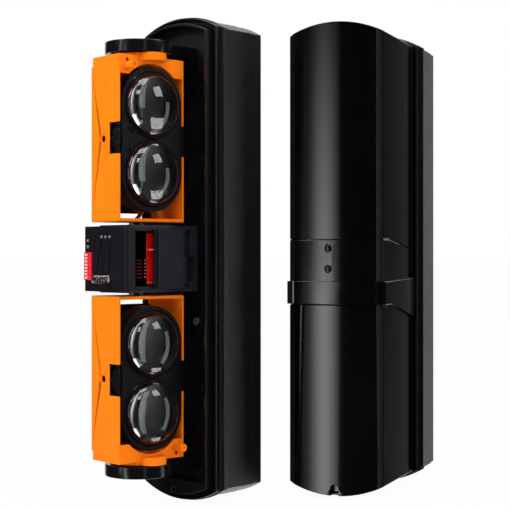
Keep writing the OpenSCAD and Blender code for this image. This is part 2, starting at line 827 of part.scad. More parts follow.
// White pin header on the circuit board.
module header_shape() {
    first = (header_pins - 1) / 2;
    mid_f = (hatch_front_f - connector_in - connector_f + box_front_f / 5 * 3) / 2;
    row = header_pins * header_pitch;
    translate([pcb_face_x, -mid_f - row / 2, header_z - header_t / 2])
        cube([header_t, row, header_t]);
    for (k = [0 : header_pins - 1])
        translate([pcb_face_x, -mid_f + (k - first) * header_pitch, header_z])
            translate([0, -header_pin / 2, -header_pin / 2])
                cube([header_l, header_pin, header_pin]);
}

function dip_slot_z(k) = -dip_z + (k - (dip_count - 1) / 2) * dip_pitch;

// Red body of the DIP switch with a slot for each slider.
module dip_shape() {
    difference() {
        translate([dip_mid_x - dip_w / 2, -dip_face_f, -dip_z - dip_h / 2])
            cube([dip_w, dip_ahead, dip_h]);
        for (k = [0 : dip_count - 1])
            translate([dip_mid_x - dip_slot_l / 2, -dip_face_f - over, dip_slot_z(k) - dip_slot_h / 2])
                cube([dip_slot_l, dip_slot_t + over, dip_slot_h]);
    }
}

// One slider of the DIP switch, number k from below, at the left end of its slot.
module slider_shape(k) {
    thick = dip_slot_h - 2 * slider_gap;
    translate([
        dip_mid_x - dip_slot_l / 2 + slider_gap,
        -dip_face_f - slider_out,
        dip_slot_z(k) - thick / 2
    ])
        cube([slider_l, slider_out + dip_slot_t - slider_gap, thick]);
}

// Switch body behind the panel that the tamper plunger slides in.
module tamper_switch_shape() {
    back_f = box_front_f - plunger_travel - plunger_t - turn_gap - tamper_t;
    difference() {
        translate([tamper_x - tamper_side / 2, -back_f - tamper_t, -tamper_z - tamper_side / 2])
            cube([pcb_face_x - pcb_t - tamper_x + tamper_side / 2, tamper_t, tamper_side]);
        point_ahead(tamper_x, back_f - over, -tamper_z)
            cylinder(h = tamper_t + 2 * over, d = stem_d + 2 * pin_clear);
    }
}

// Plunger with its disc in the spring hole and its stem in the switch body.
module plunger_shape() {
    point_ahead(tamper_x, box_front_f - plunger_t, -tamper_z)
        union() {
            cylinder(h = plunger_t, d = plunger_d);
            translate([0, 0, -stem_l])
                cylinder(h = stem_l, d = stem_d);
        }
}

spring_sides = 6;
spring_rings = 8;
spring_turn_r = (spring_d - spring_wire) / 2;
spring_pitch = (spring_l - 2 * spring_wire) / spring_curls;

// Centre of the spring's wire at ring k; its two ends run straight along the axis.
function spring_point(k) =
    let (
        last = spring_curls * spring_rings,
        turn = 360 * min(max(k - 1, 0), last) / spring_rings,
        rise = k < 1 ? 0
            : k > last + 1 ? spring_l
            : spring_wire + (k - 1) * spring_pitch / spring_rings
    )
    [spring_turn_r * cos(turn), spring_turn_r * sin(turn), rise];

spring_count = spring_curls * spring_rings + 2;
spring_centres = [for (k = [0 : spring_count]) spring_point(k)];

function unit(v) = v / norm(v);

// Direction of the wire at ring k.
function spring_step(k) = unit(spring_centres[k + 1] - spring_centres[k]);
function spring_way(k) =
    k == 0 || k == spring_count ? [0, 0, 1]
    : unit(spring_step(k) + spring_step(k - 1));

// Corner j of the ring of points around centre k.
function spring_corner(k, j) =
    let (
        way = spring_way(k),
        out = unit([spring_centres[k][0], spring_centres[k][1], 0]),
        across = unit(out - (out * way) * way),
        up = cross(way, across),
        a = 360 * j / spring_sides
    )
    spring_centres[k] + spring_wire / 2 * (cos(a) * across + sin(a) * up);

spring_points = [
    for (k = [0 : spring_count], j = [0 : spring_sides - 1]) spring_corner(k, j)
];
spring_faces = concat(
    [for (j = [1 : spring_sides - 2]) [0, j, j + 1]],
    [for (j = [1 : spring_sides - 2])
        [spring_count * spring_sides, spring_count * spring_sides + j + 1, spring_count * spring_sides + j]],
    [for (k = [0 : spring_count - 1], j = [0 : spring_sides - 1])
        [k * spring_sides + j, (k + 1) * spring_sides + j, (k + 1) * spring_sides + (j + 1) % spring_sides]],
    [for (k = [0 : spring_count - 1], j = [0 : spring_sides - 1])
        [k * spring_sides + j, (k + 1) * spring_sides + (j + 1) % spring_sides,
            k * spring_sides + (j + 1) % spring_sides]]
);
spring_gaps = [
    for (k = [0 : spring_count - spring_rings * 3 / 4], n = [k + spring_rings * 3 / 4 : spring_count])
        norm(spring_centres[k] - spring_centres[n]) - spring_wire
];
echo(least_gap_of_spring_to_itself = min(spring_gaps));

// Wound tamper spring, one unbroken tube, which stands on the plunger.
module spring_shape() {
    point_ahead(tamper_x, box_front_f, -tamper_z)
        polyhedron(points = spring_points, faces = spring_faces, convexity = 10);
}

// Black plate on the tray floor for the earth wire.
module earth_plate_shape() {
    difference() {
        translate([earth_x - earth_w / 2, -earth_t, -earth_z - earth_h / 2])
            cube([earth_w, earth_t, earth_h]);
        point_ahead(earth_x, -over, -earth_z)
            cylinder(h = earth_t + 2 * over, d = screw_d);
    }
}

// Brass insert that the cover's screw turns into.
module insert_shape() {
    point_ahead(0, rim_ahead - insert_l, lock_z)
        difference() {
            cylinder(h = insert_l, d = insert_d);
            translate([0, 0, -over])
                cylinder(h = insert_l + 2 * over, d = lock_d + 2 * pin_clear);
        }
}

// Stadium outline of a lens carrier, made larger by a gap.
module stadium(w, h) {
    straight = h - w;
    for (s = [-1, 1])
        translate([0, s * straight / 2])
            circle(d = w, $fn = 120);
    square([w, straight], center = true);
}

// Plan of a head frame: a channel open at the front, with bevelled rear corners.
module frame_plan(inset) {
    polygon([
        [-head_w / 2 + inset, -head_front],
        [head_w / 2 - inset, -head_front],
        [head_w / 2 - inset, head_back_full],
        [head_back_w / 2 - inset, head_back - inset],
        [inset - head_back_w / 2, head_back - inset],
        [inset - head_w / 2, head_back_full]
    ]);
}

// Orange frame of a head, on its own turning axis; z is measured from the unit's mid height.
module frame_shape(notched) {
    open_w = carrier_w + 2 * carrier_side_gap;
    open_h = carrier_h + 2 * carrier_end_gap;
    inside_h = head_h - 2 * head_end_t;
    screw_z = head_top_z - tilt_screw_down;
    difference() {
        union() {
            translate([0, 0, head_z])
                linear_extrude(head_h)
                    frame_plan(0);
            translate([0, 0, head_top_z - over])
                cylinder(h = boss_h + over, d = boss_d);
            translate([0, -head_front, head_top_z - tab_drop])
                intersection() {
                    cylinder(h = tab_drop + tab_rise, d = tab_d);
                    translate([-tab_d / 2, -tab_d / 2, 0])
                        cube([tab_d, tab_d / 2 + head_front_t, tab_drop + tab_rise]);
                }
        }
        difference() {
            translate([0, 0, head_z + head_end_t])
                linear_extrude(inside_h)
                    difference() {
                        frame_plan(head_t);
                        translate([-head_w / 2, -head_front - over])
                            square([head_w, head_front_t + over]);
                    }
            translate([-head_w, head_back - shoulder_t - head_t, head_top_z - shoulder_h - head_t])
                cube([2 * head_w, shoulder_t + 2 * head_t, shoulder_h + head_t]);
        }
        translate([head_t - head_w / 2, -head_front - over, head_z + head_end_t])
            cube([head_w - 2 * head_t, head_front_t + 2 * over, head_h - head_end_t - front_plate_h]);
        translate([-head_back_w / 2 + 2 * head_t, head_back - head_t - over, head_z + head_end_t])
            cube([head_back_w - 4 * head_t, head_t + 2 * over, head_h - head_end_t - rear_plate_h]);
        translate([-head_w, head_back - shoulder_t, head_top_z - shoulder_h])
            cube([2 * head_w, shoulder_t + over, shoulder_h + over]);
        translate([-head_w / 2 - over, sight_back, head_mid_z])
            rotate([0, 90, 0])
                cylinder(h = head_w + 2 * over, d = sight_d);
        translate([0, head_front_t - head_front + over / 2, head_mid_z])
            rotate([90, 0, 0])
                linear_extrude(head_front_t + over)
                    stadium(open_w, open_h);
        translate([0, 0, head_top_z - head_end_t - over])
            cylinder(h = head_end_t + boss_h + 2 * over, d = pin_d + 2 * pin_clear);
        translate([0, 0, head_z - over])
            cylinder(h = head_end_t + 2 * over, d = bracket_pin_d + 2 * pin_clear);
        translate([-tilt_screw_x, over - head_front + head_front_t, screw_z])
            rotate([90, 0, 0])
                cylinder(h = head_front_t + 2 * over, d = tilt_shank_d + 2 * pin_clear);
        if (notched)
            for (s = [-1, 1])
                translate([s * head_w / 2 - head_w / 8, -head_front - over, head_mid_z - clip_h / 2])
                    cube([head_w / 4, clip_f + over, clip_h]);
        if (!notched)
            translate([-head_w / 2 - over, tilt_y, head_mid_z])
                rotate([0, 90, 0])
                    cylinder(h = head_w + 2 * over, d = tilt_d + 2 * pin_clear);
    }
}

// Pair of black clips in the frame's notches, with the bores that the tilt pins turn in.
module clips_shape() {
    for (s = [-1, 1])
        scale([s, 1, 1])
            difference() {
                translate([head_w / 2 - head_t, -head_front, head_mid_z - clip_h / 2])
                    cube([head_t + clip_out, clip_f, clip_h]);
                translate([head_w / 2 - head_t - over, tilt_y, head_mid_z])
                    rotate([0, 90, 0])
                        cylinder(h = head_t + clip_out + 2 * over, d = tilt_d + 2 * pin_clear);
            }
}

// Black lens carrier: face, bezels, rounded body, rear box and tilt pins.
module carrier_shape() {
    inner_w = carrier_w - 2 * carrier_t;
    inner_h = carrier_h - 2 * carrier_t;
    difference() {
        union() {
            translate([0, carrier_body_y, head_mid_z])
                rotate([90, 0, 0])
                    linear_extrude(carrier_depth)
                        stadium(carrier_w, carrier_h);
            for (s = [-1, 1])
                translate([0, carrier_face_y, head_mid_z + s * lens_pitch / 2])
                    rotate([90, 0, 0])
                        cylinder(h = bezel_h, d = bezel_d, $fn = 96);
            translate([-rear_w / 2, carrier_body_y - carrier_t, head_mid_z - rear_h / 2])
                cube([rear_w, rear_back - carrier_body_y + carrier_t, rear_h]);
            translate([-head_w / 2, tilt_y, head_mid_z])
                rotate([0, 90, 0])
                    cylinder(h = head_w, d = tilt_d);
        }
        translate([0, carrier_body_y - carrier_t, head_mid_z])
            rotate([90, 0, 0])
                linear_extrude(carrier_depth - carrier_t - carrier_face_t)
                    stadium(inner_w, inner_h);
        for (s = [-1, 1])
            translate([0, carrier_face_y + carrier_face_t + over, head_mid_z + s * lens_pitch / 2])
                rotate([90, 0, 0])
                    cylinder(h = carrier_face_t + bezel_h + 2 * over, d = lens_d + 2 * lens_gap, $fn = 96);
        translate([
            carrier_t - rear_w / 2,
            carrier_body_y - carrier_t - over,
            head_mid_z - rear_h / 2 + carrier_t
        ])
            cube([rear_w - 2 * carrier_t, rear_back - carrier_body_y + over, rear_h - 2 * carrier_t]);
    }
}

// Two clear lenses, each a dome with a rim behind the carrier's face.
module lenses_shape() {
    dome_r = (lens_d * lens_d / 4 + lens_dome * lens_dome) / (2 * lens_dome);
    seat_y = carrier_face_y + carrier_face_t;
    stem = carrier_face_t + bezel_h;
    for (s = [-1, 1])
        translate([0, seat_y, head_mid_z + s * lens_pitch / 2])
            rotate([90, 0, 0])
                union() {
                    translate([0, 0, -lens_rim_t])
                        cylinder(h = lens_rim_t, d = lens_rim_d, $fn = 96);
                    cylinder(h = stem - lens_gap, d = lens_d, $fn = 96);
                    intersection() {
                        translate([0, 0, stem - lens_gap + lens_dome - dome_r])
                            sphere(r = dome_r, $fn = 96);
                        translate([0, 0, stem - lens_gap - over])
                            cylinder(h = lens_dome + 2 * over, d = lens_d, $fn = 96);
                    }
                }
}

// Tilt screw: a barrel with a cross recess ahead of the frame and a shank through it.
module tilt_screw_shape() {
    screw_z = head_top_z - tilt_screw_down;
    translate([-tilt_screw_x, -head_front - turn_gap, screw_z])
        rotate([90, 0, 0])
            difference() {
                union() {
                    cylinder(h = tilt_screw_l, d = tilt_screw_d);
                    translate([0, 0, -head_front_t - tilt_shank_l])
                        cylinder(h = head_front_t + tilt_shank_l + over, d = tilt_shank_d);
                }
                cross_recess(tilt_screw_d, tilt_screw_l);
            }
}

// Sensor board in the carrier's rear box, with a can behind each lens and four stand-offs.
module sensor_board_shape() {
    wall_y = rear_back - carrier_t;
    gap = 2 * carrier_t;
    board_w = rear_w - 2 * carrier_t - gap;
    board_h = rear_h - 2 * carrier_t - gap;
    translate([-board_w / 2, wall_y - gap - board_t, head_mid_z - board_h / 2])
        cube([board_w, board_t, board_h]);
    for (s = [-1, 1])
        translate([0, wall_y - gap, head_mid_z + s * lens_pitch / 2])
            rotate([90, 0, 0])
                cylinder(h = board_t + can_h, d = can_d);
    for (x = [-1, 1], z = [-1, 1])
        translate([x * board_w * 2 / 5, wall_y, head_mid_z + z * board_h * 2 / 5])
            rotate([90, 0, 0])
                cylinder(h = gap + board_t / 2, d = 2 * carrier_t);
}

// Half width of the cover at a distance ahead of the flange, on the line of its rear side facets.
function cover_rear_x(f) =
    let (slope = (cover_rear_w - cover_mid_w) / 2 / (cover_mid_f - cover_gap))
    cover_mid_w / 2 + slope * (cover_mid_f - f);

// Plan of the cover, x across and y as distance behind the flange, made smaller by an inset.
module cover_plan(inset, rear_f) {
    front = cover_front_f - inset;
    sag = cover_front_f - cover_bevel_f;
    front_r = (cover_bevel_w * cover_bevel_w / 4 + sag * sag) / (2 * sag);
    polygon([
        [-cover_rear_x(rear_f) + inset, -rear_f],
        [-cover_mid_w / 2 + inset, -cover_mid_f],
        [-cover_ridge_w / 2 + inset, -cover_ridge_f + inset / 2],
        [-cover_bevel_w / 2 + inset / 2, -cover_bevel_f + inset],
        [cover_bevel_w / 2 - inset / 2, -cover_bevel_f + inset],
        [cover_ridge_w / 2 - inset, -cover_ridge_f + inset / 2],
        [cover_mid_w / 2 - inset, -cover_mid_f],
        [cover_rear_x(rear_f) - inset, -rear_f]
    ]);
    intersection() {
        translate([0, front_r - front])
            circle(r = front_r, $fn = 360);
        translate([-cover_bevel_w / 2 + inset / 2, -front])
            square([cover_bevel_w - inset, front - cover_ridge_f + inset]);
    }
}

// Solid block of the cover's form, made smaller by an inset.
module cover_block(inset, rear_f) {
    intersection() {
        translate([0, 0, -half_h])
            linear_extrude(unit_h)
                cover_plan(inset, rear_f);
        ahead(rear_f - over, cover_front_f + over)
            vault(cover_rear_w + 2 * over, half_h - cover_drop - inset);
    }
}

// Slab across the cover between two slanted lines, given as heights at the front and at the rear.
module slab(low_front, high_front, low_rear, high_rear) {
    f0 = cover_gap - over;
    f1 = cover_front_f + band_t + over;
    translate([-cover_rear_w, 0, 0])
        rotate([90, 0, 90])
            linear_extrude(2 * cover_rear_w)
                polygon([
                    [-f0, low_rear],
                    [-f1 * 3 / 4, low_front],
                    [-f1, low_front],
                    [-f1, high_front],
                    [-f1 * 3 / 4, high_front],
                    [-f0, high_rear]
                ]);
}

// Thin groove around the cover along a slanted line.
module seam_cut(front_z, rear_z) {
    difference() {
        slab(front_z - seam_t / 2, front_z + seam_t / 2, rear_z - seam_t / 2, rear_z + seam_t / 2);
        cover_block(seam_t, cover_gap - 2 * over);
    }
}

// Black cover with its seams, the windows' holes, the screw notch and the rib for the screw.
module cover_shape() {
    rib_f = cover_front_f - lock_recess - lock_head_l - turn_gap;
    difference() {
        union() {
            difference() {
                cover_block(0, cover_gap);
                cover_block(cover_t, cover_gap - over);
                seam_cut(seam_front_z, seam_rear_z);
                seam_cut(-band_low_z, -band_low_rear_z);
            }
            intersection() {
                cover_block(cover_t / 2, cover_gap);
                translate([-lock_rib_w / 2, -rib_f, -half_h])
                    cube([lock_rib_w, lock_rib_t, lock_axis_h + lock_rib_top]);
            }
        }
        for (s = [-1, 1])
            point_ahead(-window_x, cover_bevel_f - cover_t - over, s * window_z)
                cylinder(h = cover_t + cover_front_f - cover_bevel_f + 2 * over, d = window_d);
        point_ahead(0, rib_f - lock_rib_t - over, lock_z)
            cylinder(h = lock_rib_t + 2 * over, d = lock_d + 2 * pin_clear);
        point_ahead(0, rib_f, lock_z)
            cylinder(h = cover_front_f - rib_f + over, d = notch_w);
        translate([-notch_w / 2, -cover_front_f - over, -half_h])
            cube([notch_w, lock_recess + over, lock_axis_h]);
    }
}

// Raised band around the cover's front and sides.
module band_shape() {
    intersection() {
        slab(-band_low_z + seam_t / 2, -band_top_z, -band_low_rear_z + seam_t / 2, -band_top_rear_z);
        difference() {
            translate([0, 0, -half_h])
                linear_extrude(unit_h)
                    difference() {
                        cover_plan(-band_t, cover_gap);
                        cover_plan(0, cover_gap - over);
                        translate([-cover_rear_w, -band_end_f])
                            square([2 * cover_rear_w, band_end_f + over]);
                    }
        }
    }
}

// Two round indicator windows in the cover's front.
module windows_shape() {
    for (s = [-1, 1])
        point_ahead(-window_x, cover_front_f + window_ahead - window_t, s * window_z)
            cylinder(h = window_t, d = window_d - 2 * pin_clear);
}

// Captive screw that holds the cover to the brass insert.
module cover_screw_shape() {
    head_f = cover_front_f - lock_recess;
    tip_f = rim_ahead - lock_reach;
    point_ahead(0, tip_f, lock_z)
        difference() {
            union() {
                cylinder(h = head_f - tip_f, d = lock_d);
                translate([0, 0, head_f - tip_f - lock_head_l])
                    cylinder(h = lock_head_l, d = lock_head_d);
            }
            cross_recess(lock_head_d, head_f - tip_f);
        }
}

module receiver_chassis() { color(dark_grey) at_receiver() chassis_shape(); }
module receiver_wall_plate() { color(dark_grey) at_receiver() wall_plate_shape(); }
module receiver_seal() { color(black) at_receiver() seal_shape(); }
module receiver_cable_grommet() { color(black) at_receiver() grommet_shape(); }
module receiver_pivot_arms() {
    color(dark_grey)
        at_receiver() {
            arm_shape();
            scale([1, 1, -1])
                arm_shape();
        }
}
module receiver_arm_screws() {
    color(steel)
        at_receiver()
            for (x = [-1, 1], z = [-1, 1])
                point_ahead(x * arm_screw_x, arm_foot_t, z * arm_screw_z())
                    screw_shape();
}
module receiver_bracket() { color(mid_grey) at_receiver() bracket_shape(); }
module receiver_control_case() { color(dark_grey) at_receiver() case_shape(true); }
module receiver_control_panel() { color(dark_grey) at_receiver() panel_shape(true); }
module receiver_side_plate() { color(mid_grey) at_receiver() side_plate_shape(); }
module receiver_circuit_board() { color(red) at_receiver() pcb_shape(); }
module receiver_connector_block() { color(red) at_receiver() connector_shape(); }
module receiver_pin_header() { color(white) at_receiver() header_shape(); }
module receiver_dip_switch() { color(red) at_receiver() dip_shape(); }
module dip_slider_1() { color(white) at_receiver() slider_shape(0); }
module dip_slider_2() { color(white) at_receiver() slider_shape(1); }
module dip_slider_3() { color(white) at_receiver() slider_shape(2); }
module dip_slider_4() { color(white) at_receiver() slider_shape(3); }
module dip_slider_5() { color(white) at_receiver() slider_shape(4); }
module dip_slider_6() { color(white) at_receiver() slider_shape(5); }
module dip_slider_7() { color(white) at_receiver() slider_shape(6); }
module dip_slider_8() { color(white) at_receiver() slider_shape(7); }
module receiver_status_lamps() { color(red) at_receiver() lamps_shape(); }
module receiver_tamper_switch() { color(black) at_receiver() tamper_switch_shape(); }
module receiver_tamper_plunger() { color(white) at_receiver() plunger_shape(); }
module receiver_tamper_spring() { color(steel) at_receiver() spring_shape(); }
module receiver_earth_plate() { color(black) at_receiver() earth_plate_shape(); }
module receiver_earth_screw() {
    color(steel)
        at_receiver()
            point_ahead(earth_x, earth_t, -earth_z)
                screw_shape();
}
module receiver_lock_insert() { color(brass) at_receiver() insert_shape(); }
module upper_head_frame() { color(orange) at_receiver() at_head(1, head_turn) frame_shape(true); }
module upper_pivot_clips() { color(black) at_receiver() at_head(1, head_turn) clips_shape(); }
module upper_lens_carrier() { color(black) at_receiver() at_head(1, head_turn) carrier_shape(); }
module upper_lenses() { color(clear) at_receiver() at_head(1, head_turn) lenses_shape(); }
module upper_tilt_screw() { color(orange) at_receiver() at_head(1, head_turn) tilt_screw_shape(); }
module upper_sensor_board() { color(red) at_receiver() at_head(1, head_turn) sensor_board_shape(); }
module lower_head_frame() { color(orange) at_receiver() at_head(-1, head_turn) frame_shape(true); }
module lower_pivot_clips() { color(black) at_receiver() at_head(-1, head_turn) clips_shape(); }
module lower_lens_carrier() { color(black) at_receiver() at_head(-1, head_turn) carrier_shape(); }
module lower_lenses() { color(clear) at_receiver() at_head(-1, head_turn) lenses_shape(); }
module lower_tilt_screw() { color(orange) at_receiver() at_head(-1, head_turn) tilt_screw_shape(); }
module lower_sensor_board() { color(red) at_receiver() at_head(-1, head_turn) sensor_board_shape(); }
module transmitter_chassis() { color(dark_grey) at_transmitter() chassis_shape(); }
module transmitter_wall_plate() { color(dark_grey) at_transmitter() wall_plate_shape(); }
module transmitter_seal() { color(black) at_transmitter() seal_shape(); }
module transmitter_cable_grommet() { color(black) at_transmitter() grommet_shape(); }
module transmitter_pivot_arms() {
    color(dark_grey)
        at_transmitter() {
            arm_shape();
            scale([1, 1, -1])
                arm_shape();
        }
}
module transmitter_bracket() { color(mid_grey) at_transmitter() bracket_shape(); }
module transmitter_control_case() { color(dark_grey) at_transmitter() case_shape(false); }
module transmitter_control_panel() { color(dark_grey) at_transmitter() panel_shape(false); }
module transmitter_lock_insert() { color(brass) at_transmitter() insert_shape(); }
module transmitter_cover() { color(black) at_transmitter() cover_shape(); }
module transmitter_cover_band() { color(black) at_transmitter() band_shape(); }
module transmitter_cover_windows() { color(clear) at_transmitter() windows_shape(); }
module transmitter_cover_screw() { color(steel) at_transmitter() cover_screw_shape(); }
module transmitter_upper_frame() { color(orange) at_transmitter() at_head(1, 0) frame_shape(false); }
module transmitter_upper_carrier() { color(black) at_transmitter() at_head(1, 0) carrier_shape(); }
module transmitter_upper_lenses() { color(clear) at_transmitter() at_head(1, 0) lenses_shape(); }
module transmitter_lower_frame() { color(orange) at_transmitter() at_head(-1, 0) frame_shape(false); }
module transmitter_lower_carrier() { color(black) at_transmitter() at_head(-1, 0) carrier_shape(); }
module transmitter_lower_lenses() { color(clear) at_transmitter() at_head(-1, 0) lenses_shape(); }

receiver_chassis();
receiver_wall_plate();
receiver_seal();
receiver_cable_grommet();
receiver_pivot_arms();
receiver_arm_screws();
receiver_bracket();
receiver_control_case();
receiver_control_panel();
receiver_side_plate();
receiver_circuit_board();
receiver_connector_block();
receiver_pin_header();
receiver_dip_switch();
dip_slider_1();
dip_slider_2();
dip_slider_3();
dip_slider_4();
dip_slider_5();
dip_slider_6();
dip_slider_7();
dip_slider_8();
receiver_status_lamps();
receiver_tamper_switch();
receiver_tamper_plunger();
receiver_tamper_spring();
receiver_earth_plate();
receiver_earth_screw();
receiver_lock_insert();
upper_head_frame();
upper_pivot_clips();
upper_lens_carrier();
upper_lenses();
upper_tilt_screw();
upper_sensor_board();
lower_head_frame();
lower_pivot_clips();
lower_lens_carrier();
lower_lenses();
lower_tilt_screw();
lower_sensor_board();
transmitter_chassis();
transmitter_wall_plate();
transmitter_seal();
transmitter_cable_grommet();
transmitter_pivot_arms();
transmitter_bracket();
transmitter_control_case();
transmitter_control_panel();
transmitter_lock_insert();
transmitter_cover();
transmitter_cover_band();
transmitter_cover_windows();
transmitter_cover_screw();
transmitter_upper_frame();
transmitter_upper_carrier();
transmitter_upper_lenses();
transmitter_lower_frame();
transmitter_lower_carrier();
transmitter_lower_lenses();
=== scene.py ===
"""Looks of the infrared beam detector set: an open receiver and a closed transmitter."""

import logging
from collections.abc import Sequence
from dataclasses import dataclass
from enum import Enum
from math import cos, pi, radians, sin, sqrt

import bmesh
import bpy
from bmesh.types import BMesh
from bpy.types import AreaLight, Material, Node, NodeSocket, NodeTree, Object
from mathutils import Euler, Matrix, Vector


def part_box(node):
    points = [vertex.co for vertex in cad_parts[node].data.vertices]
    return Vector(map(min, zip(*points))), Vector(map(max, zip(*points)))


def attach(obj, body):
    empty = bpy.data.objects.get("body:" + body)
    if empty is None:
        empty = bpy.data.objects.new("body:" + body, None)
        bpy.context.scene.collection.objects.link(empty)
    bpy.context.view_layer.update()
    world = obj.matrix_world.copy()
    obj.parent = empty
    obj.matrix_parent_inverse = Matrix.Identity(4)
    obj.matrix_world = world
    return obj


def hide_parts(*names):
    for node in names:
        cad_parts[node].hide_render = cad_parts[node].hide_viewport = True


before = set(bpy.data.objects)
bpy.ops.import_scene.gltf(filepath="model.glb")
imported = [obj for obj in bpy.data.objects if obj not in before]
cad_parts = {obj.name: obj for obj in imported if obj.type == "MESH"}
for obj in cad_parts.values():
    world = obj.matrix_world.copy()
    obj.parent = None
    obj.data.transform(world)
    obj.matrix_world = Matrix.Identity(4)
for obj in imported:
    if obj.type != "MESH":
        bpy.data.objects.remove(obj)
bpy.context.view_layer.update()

LOG = logging.getLogger("beam_detector")
MM = 0.001
RIM_AHEAD = 12.5     # how far the chassis reaches ahead of its flange, in mm
UNIT_SHIFT = (63.5, 199.0, 0.0)      # from the receiver to the transmitter, in mm
UNIT_TURN = 22.0     # the transmitter's turn against the receiver, in degrees
HEAD_TURN = 86.0     # the photographed turn of the receiver's heads
JOINED = 0.002       # corners nearer than this, in mm, become one
EDGE_ANGLE = 38.0    # edges that turn by more than this, in degrees, are rounded
FACE_WEIGHT = 60     # how much more a large face counts than a small one in the shading
SAME_POINT = 1e-4    # points of a new piece nearer than this, in mm, become one
Loop = list[Vector]
Pair = tuple[float, float]
Triple = tuple[float, float, float]

NOISE_ENDS = (0.3, 0.7)      # what most of a noise pattern's heights lie between
TIMES = {"operation": "MULTIPLY"}
LARGER = {"operation": "MAXIMUM"}
SMOOTH = {"interpolation_type": "SMOOTHSTEP"}
TWO_COLOURS = {"data_type": "RGBA"}
WHITE = (1.0, 1.0, 1.0, 1.0)


# ---- colours and nodes

def linear(colour: str) -> tuple[float, float, float, float]:
    """Turns an sRGB hex colour, six digits after a hash sign, into linear values with an alpha of 1."""
    parts = [int(colour[k:k + 2], 16) / 255 for k in (1, 3, 5)]
    return (*(c / 12.92 if c <= 0.04045 else ((c + 0.055) / 1.055) ** 2.4 for c in parts), 1.0)


def add_node(tree: NodeTree, kind: str, settings: dict | None = None, **inputs: object) -> Node:
    """Adds one node with its settings, values and links.

    Args:
        tree: the node tree that gets the node.
        kind: the node's type name.
        settings: attributes of the node itself.
        inputs: socket names, with underscores for spaces, or i and a socket's number, each with a value
            or an output socket.

    Returns:
        The new node.
    """
    node = tree.nodes.new(kind)
    for key, value in (settings or {}).items():
        setattr(node, key, value)
    for key, value in inputs.items():
        name = key.replace("_", " ")
        by_number = name[0] == "i" and name[1:].isdigit()
        socket = node.inputs[int(name[1:]) if by_number else name]
        if isinstance(value, NodeSocket):
            tree.links.new(value, socket)
        else:
            socket.default_value = value
    return node


def pattern(tree: NodeTree, size: float, detail: float = 2.0, stretch: Triple = (1.0, 1.0, 1.0),
            spread: Pair | None = None) -> NodeSocket:
    """Adds a noise pattern whose spots have a real size.

    Args:
        tree: the node tree that gets the pattern.
        size: size of a spot in mm.
        detail: how many finer layers the pattern has.
        stretch: how much the pattern is squeezed along each axis.
        spread: values for its low and its high spots, or None for the plain height.

    Returns:
        The output that carries the pattern.
    """
    place = add_node(tree, "ShaderNodeTexCoord")
    scaled = add_node(tree, "ShaderNodeMapping", None, Vector=place.outputs["Object"], Scale=stretch)
    spots = add_node(tree, "ShaderNodeTexNoise", None, Vector=scaled.outputs[0],
                     Scale=1 / (size * MM), Detail=detail)
    if spread is None:
        return spots.outputs[0]
    ranged = add_node(tree, "ShaderNodeMapRange", None, Value=spots.outputs[0], From_Min=NOISE_ENDS[0],
                      From_Max=NOISE_ENDS[1], To_Min=spread[0], To_Max=spread[1])
    return ranged.outputs[0]


class Finish:
    """What every finish shares: one material, made when it is first asked for."""

    name: str

    def material(self) -> Material:
        """Finds the finish's material or makes it.

        Returns:
            The material, which is made once.
        """
        found = bpy.data.materials.get(self.name)
        if found:
            return found
        made = bpy.data.materials.new(self.name)
        made.use_nodes = True
        made.node_tree.nodes.clear()
        add_node(made.node_tree, "ShaderNodeOutputMaterial", None, Surface=self.shader(made.node_tree))
        return made

    def shader(self, tree: NodeTree) -> NodeSocket:
        """Builds the nodes and returns the shader's output."""
        raise NotImplementedError


@dataclass(frozen=True)
class MouldedPlastic(Finish):
    """Injection moulded plastic with a spark-eroded or polished skin.

    Its grain, in mm, is the spacing of the skin's pits or, on a polished skin, of its faint waves. Real pits of
    about 0.1 mm are drawn at 0.2 mm or more, so that they show. Its cloud and drift are the sizes of slow
    changes in colour and in gloss. Its glow is the share of light that runs under the skin, soft is how far
    that light runs in mm, and bleed is how far each colour of it comes.
    """

    name: str
    colour: str
    shade: str
    roughness: float
    grain: float = 0.35
    depth: float = 0.01
    specular: float = 0.5
    glow: float = 0.0
    cloud: float = 24.0
    drift: float = 9.0
    vary: float = 0.08
    ior: float = 1.5
    soft: float = 2.0
    bleed: Triple = (1.0, 0.35, 0.12)

    def shader(self, tree: NodeTree) -> NodeSocket:
        """Builds a plastic whose colour and gloss drift a little, with a fine skin.

        Args:
            tree: the material's node tree.

        Returns:
            The shader's output.
        """
        tone = add_node(tree, "ShaderNodeMix", TWO_COLOURS, i6=linear(self.colour), i7=linear(self.shade),
                        Factor=pattern(tree, self.cloud, 3.0, spread=(0.0, 1.0)))
        less, more = self.roughness * (1 - self.vary), self.roughness * (1 + self.vary)
        skin = add_node(tree, "ShaderNodeBump", None, Strength=1.0, Distance=self.depth * MM,
                        Height=pattern(tree, self.grain, 1.0))
        plastic = add_node(tree, "ShaderNodeBsdfPrincipled", None, Base_Color=tone.outputs[2],
                           Roughness=pattern(tree, self.drift, spread=(less, more)), IOR=self.ior,
                           Normal=skin.outputs[0], Specular_IOR_Level=self.specular,
                           Subsurface_Weight=self.glow, Subsurface_Scale=self.soft * MM,
                           Subsurface_Radius=self.bleed)
        return plastic.outputs[0]


